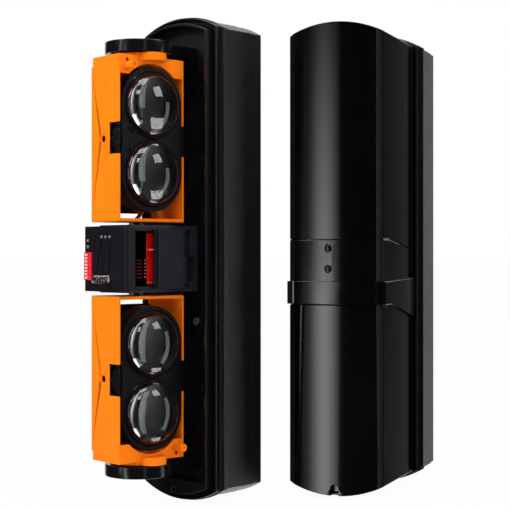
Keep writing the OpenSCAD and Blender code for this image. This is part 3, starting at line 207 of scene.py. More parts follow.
@dataclass(frozen=True)
class ClearMoulding(Finish):
    """Polished clear polycarbonate or a tinted lamp lens, with waves whose spacing and depth are in mm."""

    name: str
    colour: str
    roughness: float
    ior: float = 1.49
    clear: float = 1.0
    wave: float = 6.0
    depth: float = 0.004
    strength: float = 0.25

    def shader(self, tree: NodeTree) -> NodeSocket:
        """Builds a clear moulding with the faint waves that polished moulds leave.

        Args:
            tree: the material's node tree.

        Returns:
            The shader's output.
        """
        waves = add_node(tree, "ShaderNodeBump", None, Strength=self.strength, Distance=self.depth * MM,
                         Height=pattern(tree, self.wave, 0.0))
        body = add_node(tree, "ShaderNodeBsdfPrincipled", None, Base_Color=linear(self.colour),
                        Roughness=self.roughness, IOR=self.ior, Transmission_Weight=self.clear,
                        Normal=waves.outputs[0])
        return body.outputs[0]


@dataclass(frozen=True)
class Metal(Finish):
    """Drawn, turned or plated metal whose fine tool marks are drawn coarser than real, so that they show."""

    name: str
    colour: str
    shade: str
    roughness: float
    mark: float = 0.25
    stretch: Triple = (1.0, 1.0, 6.0)
    tarnish: float = 2.5
    vary: float = 0.08
    depth: float = 0.01
    strength: float = 0.5

    def shader(self, tree: NodeTree) -> NodeSocket:
        """Builds a metal whose tool marks break up its shine.

        Args:
            tree: the material's node tree.

        Returns:
            The shader's output.
        """
        spread = (self.roughness - self.vary, self.roughness + self.vary)
        tone = add_node(tree, "ShaderNodeMix", TWO_COLOURS, i6=linear(self.colour), i7=linear(self.shade),
                        Factor=pattern(tree, self.tarnish, spread=(0.0, 1.0)))
        skin = add_node(tree, "ShaderNodeBump", None, Strength=self.strength, Distance=self.depth * MM,
                        Height=pattern(tree, self.mark, 2.0, self.stretch))
        metal = add_node(tree, "ShaderNodeBsdfPrincipled", None, Base_Color=tone.outputs[2], Metallic=1.0,
                         Roughness=pattern(tree, self.mark, 2.0, self.stretch, spread), Normal=skin.outputs[0])
        return metal.outputs[0]


@dataclass(frozen=True)
class LacqueredBoard(Finish):
    """Glass-fibre circuit board under coloured solder lacquer, with its copper tracks.

    Its pitch, in mm, is the spacing of the parts' legs. The tracks' run and width are shares of it.
    """

    name: str
    colour: str
    track: str
    pitch: float = 2.54
    run: float = 5.0
    width: float = 0.09
    depth: float = 0.05
    strength: float = 0.6
    haze: float = 4.0
    gloss: Pair = (0.22, 0.34)

    def shader(self, tree: NodeTree) -> NodeSocket:
        """Builds a glossy lacquer over raised tracks at the parts' own spacing.

        Args:
            tree: the material's node tree.

        Returns:
            The shader's output.
        """
        place = add_node(tree, "ShaderNodeTexCoord")
        lying = add_node(tree, "ShaderNodeMapping", None, Vector=place.outputs["Object"],
                         Rotation=(0.0, pi / 2, 0.0))
        tracks = add_node(tree, "ShaderNodeTexBrick", {"offset": 0.5, "squash": 1.6}, Vector=lying.outputs[0],
                          Scale=1.0, Mortar_Size=self.width * self.pitch * MM,
                          Brick_Width=self.run * self.pitch * MM,
                          Row_Height=self.pitch * MM / 2, Color1=linear(self.colour),
                          Color2=linear(self.colour), Mortar=linear(self.track))
        raised = add_node(tree, "ShaderNodeBump", None, Strength=self.strength, Distance=self.depth * MM,
                          Height=tracks.outputs["Fac"])
        board = add_node(tree, "ShaderNodeBsdfPrincipled", None, Base_Color=tracks.outputs["Color"],
                         Roughness=pattern(tree, self.haze, spread=self.gloss), Normal=raised.outputs[0])
        return board.outputs[0]


# Spark-eroded black ABS: satin, nearly even, with a soft sheen along its edges.
HOUSING = MouldedPlastic("satin_black_abs", "#0a0a0e", "#0d0d12", 0.33, 0.5, 0.012, 0.5)
# Satin ABS from a smoother mould: the arms catch light a little more.
ARM_BLACK = MouldedPlastic("smooth_black_abs", "#0a090d", "#0c0b10", 0.19, 0.6, 0.004, 0.45)
# Matte black ABS: the lens carriers, their clips and the wiring shields swallow light; on the shields this
# black is also painted shade, standing in for the shaded inside of the orange frames.
CARRIER_BLACK = MouldedPlastic("matte_black_abs", "#0a0a0d", "#0d0c11", 0.42, 0.4, 0.012, 0.22)
# Dark grey ABS of the control box: an even matte skin.
PANEL_GREY = MouldedPlastic("panel_grey_abs", "#101015", "#13131a", 0.4, 0.35, 0.01, 0.3)
# Mid grey ABS of the bracket, which looks soft and flat.
BRACKET_GREY = MouldedPlastic("bracket_grey_abs", "#28272f", "#2c2b34", 0.4, 0.4, 0.012, 0.35)
# The same ABS on the side plate, a shade darker and less shiny: painted shade, a shaded copy of the bracket's
# grey.
SHADED_PLATE_GREY = MouldedPlastic("plate_grey_abs_painted_shade", "#19181f", "#1c1b23", 0.42, 0.4, 0.012, 0.15)
# Pale grey nylon of the small studs, faintly waxy.
STUD_GREY = MouldedPlastic("grey_nylon", "#7c7a80", "#6f6d73", 0.4, 0.3, 0.008, 0.4)
# Fully pigmented orange ABS: a matte skin that keeps its colour strong even in the light.
ORANGE = MouldedPlastic("orange_abs", "#ff8006", "#fd7902", 0.45, 0.45, 0.008, 0.12)
# Polished black polycarbonate that passes infrared: a mirror-like skin with faint waves.
COVER_GLOSS = MouldedPlastic("polished_black_polycarbonate", "#020203", "#030304", 0.075, 9.0, 0.0008, 0.5)
# Smoked polycarbonate of the two round windows: dark, with a soft shine.
WINDOW_DARK = MouldedPlastic("smoked_polycarbonate", "#0b0a0c", "#100f12", 0.22, 3.0, 0.004, 0.35)
# Black rubber, dull and slightly dusty.
RUBBER = MouldedPlastic("black_rubber", "#161616", "#1f1e1e", 0.75, 0.3, 0.02, 0.35)
# Dark red filter plastic, which glimmers as a thin line round and behind the lenses.
FILTER_RED = MouldedPlastic("red_filter_plastic", "#820a04", "#6a0803", 0.35, 2.0, 0.004, 0.15)
# Black velvet-like baffle paint inside the lens cups.
BAFFLE = MouldedPlastic("baffle_black", "#131114", "#19171a", 0.5, 0.4, 0.01, 0.4)
# Dull black nylon of the connector block, whose slots stay dark; its near-black with no shine at all is partly
# painted shade for the shadow inside the hatch.
SHADED_SLOT_BLACK = MouldedPlastic("slot_black_nylon_painted_shade", "#020202", "#030303", 0.5, 0.3, 0.006, 0.0)
# Red nylon deep in a slot, where little light comes: a darker copy of the bright red, painted shade; it also
# paints the pin's hole.
SHADED_SLOT_RED = MouldedPlastic("shaded_red_nylon", "#8e0d0d", "#6d0808", 0.5, 0.3, 0.006, 0.2)
# Bright red nylon of the switch body, the header and one wire.
SIGNAL_RED = MouldedPlastic("red_nylon", "#f5202f", "#ee1b2a", 0.4, 0.3, 0.006, 0.3)
# Off-white nylon of the sliders, the plunger and the dots; it glows a little at thin edges.
NYLON_WHITE = MouldedPlastic("white_nylon", "#dfdfdc", "#d2d2d0", 0.42, 0.3, 0.006, 0.45, 0.1)
# Moulded epoxy of the chips, dull and even.
EPOXY = MouldedPlastic("black_epoxy", "#1d1d1f", "#252527", 0.5, 0.2, 0.01, 0.5)
# Shrink sleeve of the capacitors, smooth and glossy.
SLEEVE_BLUE = MouldedPlastic("blue_sleeve", "#1f2f55", "#243763", 0.25, 1.0, 0.004, 0.5)
# Polished clear polycarbonate lens: sharp highlights, no tint.
LENS_CLEAR = ClearMoulding("clear_polycarbonate", "#f4f6f8", 0.01, 1.5)
# Grey tinted lamp lens, milky enough to hide the chip.
LAMP_GREY = ClearMoulding("lamp_epoxy", "#8f9296", 0.12, 1.5, 0.45)
# Drawn spring wire with a warm grey shine.
SPRING_WIRE = Metal("drawn_spring_wire", "#b9b2ab", "#a59d95", 0.26, 0.2)
# Blackened steel of the screws that hold the arms, which hardly shows on the black tray.
BLACK_STEEL = Metal("blackened_steel", "#2a292b", "#222123", 0.4, 0.2)
# Nickel plated steel of the screws, bright but softly blurred.
NICKEL = Metal("nickel_plated_steel", "#dedbd6", "#cbc8c3", 0.48, 0.2)
# Turned brass of the thread insert, yellow with fine rings.
BRASS = Metal("turned_brass", "#c9a35a", "#b48c44", 0.3, 0.15)
# Tinned copper of legs, solder and sensor cans, silvery and smooth.
TIN = Metal("tinned_copper", "#cfcfcf", "#b9b9ba", 0.3, 0.3)
# Red lacquered circuit board: its tracks stand out under the gloss.
BOARD_RED = LacqueredBoard("red_lacquered_board", "#e00b0b", "#ee2418")


# ---- places and meshes

@dataclass(frozen=True)
class Seat:
    """A place that carries pieces: its origin in metres, its turn about Z, and a half turn end for end."""

    origin: Vector
    turn: float = 0.0
    flipped: bool = False

    def matrix(self) -> Matrix:
        """Returns the matrix from millimetres in this seat to metres in the frame."""
        flip = Matrix.Rotation(pi if self.flipped else 0.0, 4, "Y")
        turn = Matrix.Rotation(radians(self.turn), 4, "Z")
        return Matrix.Translation(self.origin) @ turn @ flip @ Matrix.Scale(MM, 4)

    def head(self, side: int, turn: float) -> "Seat":
        """Returns a head's seat: side 1 is the upper head, -1 the lower, and turn is in degrees."""
        axis = self.matrix() @ Vector((0.0, -HEAD.pivot, 0.0))
        return Seat(axis, self.turn + turn, side < 0)


class Way(Enum):
    """Direction that a turned piece's axis points in."""

    UP = Matrix.Identity(4)
    AHEAD = Matrix.Rotation(pi / 2, 4, "X")
    RIGHT = Matrix.Rotation(pi / 2, 4, "Y")


def new_mesh(form: BMesh, name: str, place: Matrix, sharp: float = 32.0) -> Object:
    """Turns built geometry into a scene object in the frame.

    Args:
        form: the geometry, which is freed.
        name: the object's name.
        place: matrix from the geometry to the frame.
        sharp: angle in degrees above which an edge stays sharp.

    Returns:
        The new object.
    """
    bmesh.ops.remove_doubles(form, verts=form.verts, dist=SAME_POINT)
    bmesh.ops.recalc_face_normals(form, faces=form.faces)
    mesh = bpy.data.meshes.new(name)
    form.to_mesh(mesh)
    form.free()
    mesh.transform(place)
    mesh.shade_smooth()
    mesh.set_sharp_from_angle(angle=radians(sharp))
    made = bpy.data.objects.new(name, mesh)
    bpy.context.scene.collection.objects.link(made)
    return made


def join_loops(form: BMesh, loops: Sequence[Sequence[Vector]], closed: bool) -> None:
    """Skins a row of equal closed loops with quads.

    Args:
        form: the geometry that gets the faces.
        loops: the loops in order, each with as many points as the others.
        closed: True to join the last loop to the first, False to cap both ends.
    """
    rows = [[form.verts.new(p) for p in loop] for loop in loops]
    count = len(rows[0])
    pairs = list(zip(rows, rows[1:] + (rows[:1] if closed else [])))
    for low, high in pairs:
        for k in range(count):
            n = (k + 1) % count
            form.faces.new((low[k], low[n], high[n], high[k]))
    if not closed:
        form.faces.new(rows[0][::-1])
        form.faces.new(rows[-1])


def turned(form: BMesh, profile: Sequence[Pair], way: Way = Way.UP,
           at: Triple = (0.0, 0.0, 0.0), steps: int = 64) -> None:
    """Adds a turned shape; a profile that starts and ends on the axis needs no closing.

    Args:
        form: the geometry that gets the shape.
        profile: radius and height pairs; the profile is closed back to its start.
        way: direction of the axis.
        at: the axis's foot.
        steps: number of faces round the axis.
    """
    place = Matrix.Translation(Vector(at)) @ way.value
    open_ends = profile[0][0] < 1e-6 and profile[-1][0] < 1e-6
    tiny = 1e-3
    turns = [2 * pi * k / steps for k in range(steps)]
    loops = [[place @ Vector((max(r, tiny) * cos(a), max(r, tiny) * sin(a), h)) for a in turns]
             for r, h in profile]
    join_loops(form, loops, closed=not open_ends)


def tube(form: BMesh, path: Sequence[Vector], radius: float, sides: int = 12) -> None:
    """Adds a round wire along a path.

    Args:
        form: the geometry that gets the wire.
        path: the wire's middle points.
        radius: the wire's radius.
        sides: number of faces round the wire.
    """
    loops: list[Loop] = []
    across: Vector | None = None
    for k, point in enumerate(path):
        way = (path[min(k + 1, len(path) - 1)] - path[max(k - 1, 0)]).normalized()
        across = (across - across.dot(way) * way).normalized() if across else way.orthogonal().normalized()
        up = way.cross(across)
        loops.append([point + radius * (cos(2 * pi * j / sides) * across + sin(2 * pi * j / sides) * up)
                      for j in range(sides)])
    join_loops(form, loops, closed=False)


def block(form: BMesh, low: Triple, high: Triple, round_edge: float = 0.2,
          place: Matrix | None = None) -> None:
    """Adds a moulded block whose edges are rounded.

    Args:
        form: the geometry that gets the block.
        low: lowest corner.
        high: highest corner.
        round_edge: width of the rounding.
        place: a turn or shift of the whole block.
    """
    size = Vector(high) - Vector(low)
    made = bmesh.ops.create_cube(form, size=1.0, matrix=(place or Matrix.Identity(4))
                                 @ Matrix.Translation((Vector(low) + Vector(high)) / 2)
                                 @ Matrix.Diagonal((*size, 1.0)))
    edges = list({e for v in made["verts"] for e in v.link_edges})
    bmesh.ops.bevel(form, geom=edges, offset=round_edge, segments=3, profile=0.5, affect="EDGES")


@dataclass(frozen=True)
class Piece:
    """One dressed piece: its name, what it rides on, its record slot and the nodes it stands for."""

    name: str
    body: str
    slot: str
    finish: Finish
    replaces: tuple[str, ...] = ()

    def place(self, form: BMesh, seat: Seat, sharp: float = 32.0) -> None:
        """Makes the piece's object and ties it to the frame.

        Args:
            form: the piece's geometry in millimetres of its seat.
            seat: the seat that carries it.
            sharp: angle in degrees above which an edge stays sharp.
        """
        made = new_mesh(form, self.name, seat.matrix(), sharp)
        made.data.materials.append(self.finish.material())
        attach(made, self.body)
        if self.replaces:
            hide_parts(*self.replaces)
        LOG.info("piece %s on %s", self.name, self.body)


def dress(node: str, finish: Finish, edge: float = 0.0) -> None:
    """Gives a CAD node its material and, with modifiers alone, rounded edges.

    Args:
        node: the node's name.
        finish: its finish.
        edge: width of the edge rounding in mm; 0 leaves the edges alone.
    """
    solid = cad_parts[node]
    material = finish.material()
    if not solid.material_slots:
        solid.data.materials.append(material)
    for slot in solid.material_slots:
        slot.link = "OBJECT"
        slot.material = material
    weld = solid.modifiers.new("weld", "WELD")
    weld.merge_threshold = JOINED * MM
    if edge > 0:
        rounding = solid.modifiers.new("rounded_edges", "BEVEL")
        rounding.width = edge * MM
        rounding.segments = 2
        rounding.limit_method = "ANGLE"
        rounding.angle_limit = radians(EDGE_ANGLE)
        rounding.use_clamp_overlap = False
        rounding.miter_outer = "MITER_ARC"
    normals = solid.modifiers.new("even_shading", "WEIGHTED_NORMAL")
    normals.keep_sharp = True
    normals.weight = FACE_WEIGHT
    LOG.info("node %s dressed in %s", node, finish.name)


# ---- housing

@dataclass
class Housing:
    """The housing of one unit: chassis, wall plate, seal, grommet, arms and small fittings."""

    unit: str
    body: str
    seat: Seat
    arch: float = 105.3
    half: float = 225.0
    rim_w: float = 87.2
    lip_w: float = 100.0
    lip_t: float = 2.0
    rim_drop: float = 7.0
    lip_drop: float = 1.0
    seal_gap: float = 0.3
    seal_t: float = 2.4
    fix: Triple = (25.0, 154.0, 5.0)
    grommet: Pair = (-22.0, -134.0)
    floor_t: float = 2.5
    flange_t: float = 1.6
    cable_d: float = 9.0
    arm_top: float = 195.0
    pan: float = 1.2
    pan_d: float = 53.0

    def build(self) -> None:
        """Dresses the housing's nodes and adds its fittings."""
        dress(f"{self.unit}_chassis", HOUSING, 0.45)
        dress(f"{self.unit}_wall_plate", HOUSING, 0.7)
        dress(f"{self.unit}_pivot_arms", ARM_BLACK, 0.8)
        dress(f"{self.unit}_lock_insert", BRASS)
        self.make_seal()
        self.make_grommet()
        self.make_hole_rings()
        self.make_cable_hooks()
        self.make_arm_caps()

    def vault_loop(self, width: float, crown: float, ahead: float) -> Loop:
        """Returns the vaulted outline at a distance ahead of the flange.

        Args:
            width: the outline's width.
            crown: its highest point above mid height.
            ahead: distance ahead of the flange.

        Returns:
            The outline's points in order.
        """
        steps = 40
        across = [width * (k / steps - 0.5) for k in range(steps + 1)]
        top = [Vector((x, -ahead, crown - self.arch + sqrt(self.arch ** 2 - x ** 2))) for x in across]
        right = [Vector((width / 2, -ahead, top[-1].z * (1 - k / 15))) for k in range(1, 30)]
        half = top + right
        return half + [Vector((-p.x, p.y, -p.z)) for p in half]

    def make_seal(self) -> None:
        """Makes the rubber seal: a strip with two rounded lips in the groove between the rims."""
        outer_w = self.lip_w - 2 * self.lip_t - 2 * self.seal_gap
        outer_c = self.half - self.lip_drop - self.lip_t - self.seal_gap
        inner_w = self.rim_w + 2 * self.seal_gap
        inner_c = self.half - self.rim_drop + self.seal_gap
        foot = 0.05
        lips = ((0.0, 0.35), (0.12, 0.85), (0.25, 1.0), (0.38, 0.85), (0.46, 0.5), (0.54, 0.5), (0.62, 0.85),
                (0.75, 1.0), (0.88, 0.85), (1.0, 0.35))
        profile = [(1.0, foot), (0.0, foot)] + [(share, rise * self.seal_t) for share, rise in lips]
        form = bmesh.new()
        join_loops(form, [self.vault_loop(inner_w + (outer_w - inner_w) * share,
                                          inner_c + (outer_c - inner_c) * share, ahead)
                          for share, ahead in profile], True)
        Piece(f"{self.unit}_seal_strip", self.body, "seal_rubber", RUBBER,
              (f"{self.unit}_seal",)).place(form, self.seat)

    def make_grommet(self) -> None:
        """Makes the rubber grommet with a rolled lip on both sides of the tray floor."""
        hole, neck, lip = self.cable_d / 2, 10.0, 13.0
        ring, floor = self.flange_t, self.floor_t
        back = [(lip - 0.2, -ring * 0.5), (lip - 0.9, -ring + 0.1), (neck, -ring), (hole + 0.5, -ring * 0.8),
                (hole, -ring * 0.4)]
        front = [(hole, floor + ring * 0.4), (hole + 0.5, floor + ring * 0.8), (neck - 2.4, floor + ring),
                 (neck - 1.6, floor + ring * 0.55), (neck - 0.6, floor + ring * 0.55),
                 (neck + 0.2, floor + ring), (lip - 0.9, floor + ring - 0.1), (lip - 0.1, floor + ring * 0.5),
                 (lip - 0.3, floor + 0.05), (neck, floor + 0.05), (neck, -0.05), (lip - 0.3, -0.05)]
        form = bmesh.new()
        turned(form, back + front, Way.AHEAD, (self.grommet[0], floor, self.grommet[1]), 72)
        Piece(f"{self.unit}_grommet_ring", self.body, "seal_rubber", RUBBER,
              (f"{self.unit}_cable_grommet",)).place(form, self.seat, 50)

    def make_hole_rings(self) -> None:
        """Makes the raised rings round the wall screws' holes in the tray floor."""
        x, z, d = self.fix
        form = bmesh.new()
        ring = ((0.1, -0.3), (0.1, 0.7), (0.5, 1.0), (1.5, 1.0), (1.9, 0.7), (2.2, -0.3))
        for side in (-1, 1):
            for end in (-1, 1):
                turned(form, [(d / 2 + out, h) for out, h in ring], Way.AHEAD, (side * x, 0.0, end * z), 48)
        Piece(f"{self.unit}_hole_rings", self.body, "housing", HOUSING).place(form, self.seat)

    def make_cable_hooks(self) -> None:
        """Makes the small hooks on the tray floor that hold the wiring."""
        tall, half = 6.0, 3.0
        form = bmesh.new()
        for x, z in ((-34.0, 118.0), (-34.0, 62.0), (-34.0, -96.0), (34.0, -118.0), (34.0, 92.0)):
            side = 1 if x < 0 else -1
            block(form, (x - 1.2, -tall, z - half), (x + 1.2, 0.3, z + half), 0.35)
            near, far = sorted((x + side * 1.0, x + side * 6.0))
            block(form, (near, -tall, z - half), (far, 1.4 - tall, z + half), 0.35)
        Piece(f"{self.unit}_cable_hooks", self.body, "housing", HOUSING).place(form, self.seat)

    def make_arm_caps(self) -> None:
        """Makes the cap with its pivot screw in the pan of each arm's disc."""
        for side, word in ((1, "upper"), (-1, "lower")):
            seat = self.seat.head(side, 0.0)
            floor, rim = self.arm_top - self.pan, self.pan_d / 2
            profile = [(0.0, -0.4), (rim - 1.5, -0.4), (rim - 1.5, 0.3), (rim - 2.1, 0.6), (rim - 4.0, 0.6),
                       (rim - 4.6, 0.15), (11.0, 0.15), (10.4, 0.6), (6.4, 0.6), (5.8, 0.15), (0.0, 0.15)]
            form = bmesh.new()
            turned(form, [(r, floor + h) for r, h in profile], steps=96)
            Piece(f"{self.unit}_{word}_arm_cap", self.body, "inner_black", ARM_BLACK).place(form, seat)
            profile = [(0.0, -0.2), (4.4, -0.2), (4.4, 0.5), (3.9, 0.95), (1.4, 1.05), (1.2, 0.3), (0.0, 0.3)]
            form = bmesh.new()
            turned(form, [(r, floor + h) for r, h in profile], steps=48)
            Piece(f"{self.unit}_{word}_arm_screw", self.body, "screw_steel", NICKEL).place(form, seat)


# ---- heads

@dataclass(frozen=True)
class HeadSizes:
    """Sizes that all four heads share, in the head's own seat."""

    pivot: float = 55.0
    mid: float = 106.85
    pitch: float = 61.2
    lens_d: float = 50.184
    rim_d: float = 54.184
    rim_t: float = 2.0
    dome: float = 15.0
    dome_r: float = 28.6
    dome_foot: float = 1.6
    seat_y: float = -18.0
    stem: float = 3.8
    can_front: float = 3.4
    half_w: float = 36.5
    wall: float = 1.8
    pin_y: float = -15.0
    low: float = 33.0
    top: float = 180.7
    back: float = 25.0
    shield_in: float = 1.5
    sight_y: float = 3.6
    bezel_h: float = 1.6
    collar_h: float = 2.7
    collar_r: float = 25.6
    collar_front: float = 20.2


HEAD = HeadSizes()


@dataclass
class Head:
    """One lens head: orange frame, black carrier, two clear lenses and what shows behind them."""

    prefix: str
    frame_node: str
    carrier_node: str
    lenses_node: str
    optics_body: str
    frame_body: str
    seat: Seat
    receiver: bool

    def build(self) -> None:
        """Dresses the head's nodes and adds its clips, lenses, cups, lips, collar and shield."""
        dress(self.frame_node, ORANGE, 0.8)
        dress(self.carrier_node, CARRIER_BLACK, 0.35)
        if self.receiver:
            self.make_clips()
            dress(f"{self.prefix}_tilt_screw", ORANGE, 0.25)
            dress(f"{self.prefix}_sensor_board", BOARD_RED, 0.15)
        self.make_lenses()
        self.make_cups()
        self.make_lips()
        self.make_collar()
        self.make_shield()
        if self.receiver:
            self.make_wires()
            self.make_pin_hole()

    def make_lips(self) -> None:
        """Makes the thin lip round each bezel and the small bayonet tabs between the lenses."""
        face, tab = HEAD.stem - HEAD.bezel_h + 0.2, 22.4
        form = bmesh.new()
        for side in (-1, 1):
            at = (0.0, HEAD.seat_y, HEAD.mid + side * HEAD.pitch / 2)
            turned(form, [(29.4, face - 0.2), (30.5, face - 0.2), (30.5, face + 0.5), (30.2, face + 0.9),
                          (29.7, face + 0.9), (29.4, face + 0.5)], Way.AHEAD, at, 128)
            lean = Matrix.Translation((-tab, HEAD.seat_y - face, at[2] - side * tab))
            lean @= Matrix.Rotation(radians(side * 45.0), 4, "Y")
            for x, z, to_x, to_z in ((-3.4, -2.2, 3.4, -1.5), (-3.4, 1.5, 3.4, 2.2), (-3.4, -2.2, -2.7, 2.2),
                                     (2.7, -2.2, 3.4, 2.2)):
                block(form, (x, -1.5, z), (to_x, 0.2, to_z), 0.15, lean)
        Piece(f"{self.prefix}_bezel_lips", self.optics_body, "inner_black", ARM_BLACK).place(form, self.seat)

    def make_collar(self) -> None:
        """Makes the round collar between the frame's outer end and the arm's disc."""
        low, high, r, count = HEAD.top - 0.3, HEAD.top + HEAD.collar_h, HEAD.collar_r, 96
        form = bmesh.new()
        rings = [(0.6, low), (0.0, low + 0.01), (0.0, high - 0.5), (0.15, high - 0.15), (0.5, high),
                 (14.0, high), (14.0, low)]
        turns = [2 * pi * k / count for k in range(count)]
        join_loops(form, [[Vector(((r - cut) * cos(a),
                                   max((r - cut) * sin(a), cut * 0.2 - HEAD.collar_front), z))
                           for a in turns] for cut, z in rings], True)
        Piece(f"{self.prefix}_collar", self.frame_body, "frame_orange", ORANGE).place(form, self.seat, 50)

    def make_shield(self) -> None:
        """Makes the wiring shield across the frame's back and the plates behind the sighting holes; the
        shield's black is partly painted shade for the shaded inside of the frame.
        """
        form = bmesh.new()
        low, back, end, half = HEAD.low + 8.6, HEAD.back - HEAD.shield_in, HEAD.mid - 50.5, 30.2
        block(form, (-half, back - 1.0, low), (half, back, end), 0.3)
        block(form, (21.0, back - 3.4, HEAD.low + 3.3), (half, back - 0.2, low + 1.0), 0.4)
        for x in (-22.0, 0.0, 22.0):
            block(form, (x - 0.6, back - 0.4, low + 1.0), (x + 0.6, back + 1.2, end - 1.0), 0.25)
        plate, inner = 4.4, HEAD.half_w - HEAD.wall - 0.05
        for side in (-1, 1):
            near, far = sorted((side * inner, side * (inner - 0.8)))
            block(form, (near, HEAD.sight_y - plate, HEAD.mid - plate),
                  (far, HEAD.sight_y + plate, HEAD.mid + plate), 0.2)
        # The shield is black as painted shade where the inside of the orange frame lies in shadow.
        Piece(f"{self.prefix}_wiring_shade_shield", self.frame_body, "inner_black",
              CARRIER_BLACK).place(form, self.seat)

    def make_wires(self) -> None:
        """Makes the three short wires behind the shield."""
        steps, rise, wire_r, back = 12, 14.0, 0.75, HEAD.back - HEAD.shield_in
        for word, finish, x in (("red", SIGNAL_RED, 12.0), ("white", NYLON_WHITE, 15.4),
                                ("black", RUBBER, 13.6)):
            bow = [sin(pi * k / steps) for k in range(steps + 1)]
            path = [Vector((x + 2.2 * b, back - 2.6 - 4.0 * b, HEAD.low + 4.2 + rise * k / steps))
                    for k, b in enumerate(bow)]
            form = bmesh.new()
            tube(form, path, wire_r, 10)
            Piece(f"{self.prefix}_wire_{word}", self.frame_body, "inner_black",
                  finish).place(form, self.seat, 60)

    def make_pin_hole(self) -> None:
        """Makes the pin's hole in the frame's front: a flat dark red disc on the surface, painted shade in
        place of a hole.
        """
        form = bmesh.new()
        turned(form, [(0.0, 0.02), (1.1, 0.02), (1.25, 0.12), (1.6, 0.12), (1.75, -0.1), (0.0, -0.1)],
               Way.AHEAD, (-27.6, -20.0, HEAD.top - 4.6), 32)
        # The pin's hole is only a dark red disc: painted shade.
        Piece(f"{self.prefix}_pin_hole", self.frame_body, "frame_orange", SHADED_SLOT_RED).place(form, self.seat)

    def make_clips(self) -> None:
        """Makes the pair of clips that hold the carrier's pins in the frame's notches."""
        bars = [(-5.0, 4.4, end * 5.0 - 3.0, end * 5.0 + 3.0) for end in (-1, 1)]
        bars += [(-5.0, -2.2, -3.0, 3.0), (2.2, 4.4, -3.0, 3.0)]
        ribs = [(4.0, 8.6, end * 13.0 - 0.9, end * 13.0 + 0.9) for end in (-1, 1)]
        ribs += [(-4.0, -2.6, end * 11.0 - 3.6, end * 11.0 + 3.0) for end in (-1, 1)]
        ribs += [(7.4, 8.8, -13.6, 13.6), (4.0, 8.0, -1.5, 1.5)]
        form = bmesh.new()
        for side in (-1, 1):
            low, high = sorted((side * (HEAD.half_w + 0.3), side * (HEAD.half_w - HEAD.wall)))
            for rows, inset, edge in ((bars, 0.0, 0.4), (ribs, 0.3, 0.25)):
                for front, back, foot, top in rows:
                    block(form, (low + inset, HEAD.pin_y + front, HEAD.mid + foot),
                          (high - inset, HEAD.pin_y + back, HEAD.mid + top), edge)
        Piece(f"{self.prefix}_clip_pair", f"{self.prefix}_head", "inner_black", CARRIER_BLACK,
              (f"{self.prefix}_pivot_clips",)).place(form, self.seat)

    def make_lenses(self) -> None:
        """Makes the pair of clear lenses: a full dome over the bezel's ring, a stem, a rim and a flat back."""
        steps = 36
        radius, foot = HEAD.dome_r, HEAD.dome_foot
        dome = [(radius * sin(pi / 2 * k / steps), foot + HEAD.dome * cos(pi / 2 * k / steps))
                for k in range(steps + 1)]
        stem = HEAD.lens_d / 2 - 0.1
        under = [(radius - 0.25, foot - 0.2), (stem, foot - 0.2), (stem, 0.0), (HEAD.rim_d / 2 - 0.2, 0.0),
                 (HEAD.rim_d / 2, -0.2), (HEAD.rim_d / 2, -HEAD.rim_t + 0.2),
                 (HEAD.rim_d / 2 - 0.2, -HEAD.rim_t), (0.0, -HEAD.rim_t)]
        form = bmesh.new()
        for side in (-1, 1):
            turned(form, dome + under, Way.AHEAD, (0.0, HEAD.seat_y, HEAD.mid + side * HEAD.pitch / 2), 128)
        Piece(f"{self.prefix}_lens_pair", self.optics_body, "lens_clear", LENS_CLEAR,
              (self.lenses_node,)).place(form, self.seat, 40)

    def make_cups(self) -> None:
        """Makes the stepped black cup, the red filter rings and the sensor's window behind each lens."""
        cups, rings, cans = bmesh.new(), bmesh.new(), bmesh.new()
        front = -HEAD.rim_t - 0.3
        back = HEAD.seat_y - HEAD.can_front
        for side in (-1, 1):
            at = (0.0, HEAD.seat_y, HEAD.mid + side * HEAD.pitch / 2)
            turned(cups, [(23.4, front), (21.2, front - 3.0), (21.2, front - 4.0), (17.0, front - 8.0),
                          (17.0, front - 9.0), (11.5, front - 14.0), (6.2, back + 1.5), (6.2, back - 1.0),
                          (6.9, back - 1.0), (12.4, front - 14.2), (18.0, front - 9.4), (22.2, front - 4.4),
                          (24.3, front)], Way.AHEAD, at, 96)
            for profile in ([(28.2, HEAD.stem + 0.22), (28.2, HEAD.stem + 0.36), (27.3, HEAD.stem + 0.36),
                             (27.3, HEAD.stem + 0.22)],
                            [(24.85, HEAD.stem), (24.85, -1.7), (24.5, -1.7), (24.5, HEAD.stem)],
                            [(26.2, front), (26.2, front - 0.8), (24.2, front - 1.0), (22.4, front - 3.2),
                             (21.6, front - 3.2), (23.6, front)]):
                turned(rings, profile, Way.AHEAD, at, 96)
            turned(cans, [(0.0, back + 0.1), (4.4, back + 0.1), (4.4, back + 0.6), (3.4, back + 1.0),
                          (2.9, back + 1.0), (2.6, back + 0.6), (1.6, back + 1.3), (0.0, back + 1.6)],
                   Way.AHEAD, at, 48)
        Piece(f"{self.prefix}_lens_cups", self.optics_body, "inner_black", BAFFLE).place(cups, self.seat)
        Piece(f"{self.prefix}_filter_rings", self.optics_body, "red_plastic",
              FILTER_RED).place(rings, self.seat)
        Piece(f"{self.prefix}_sensor_windows", self.optics_body, "screw_steel", TIN).place(cans, self.seat)


# ---- control box

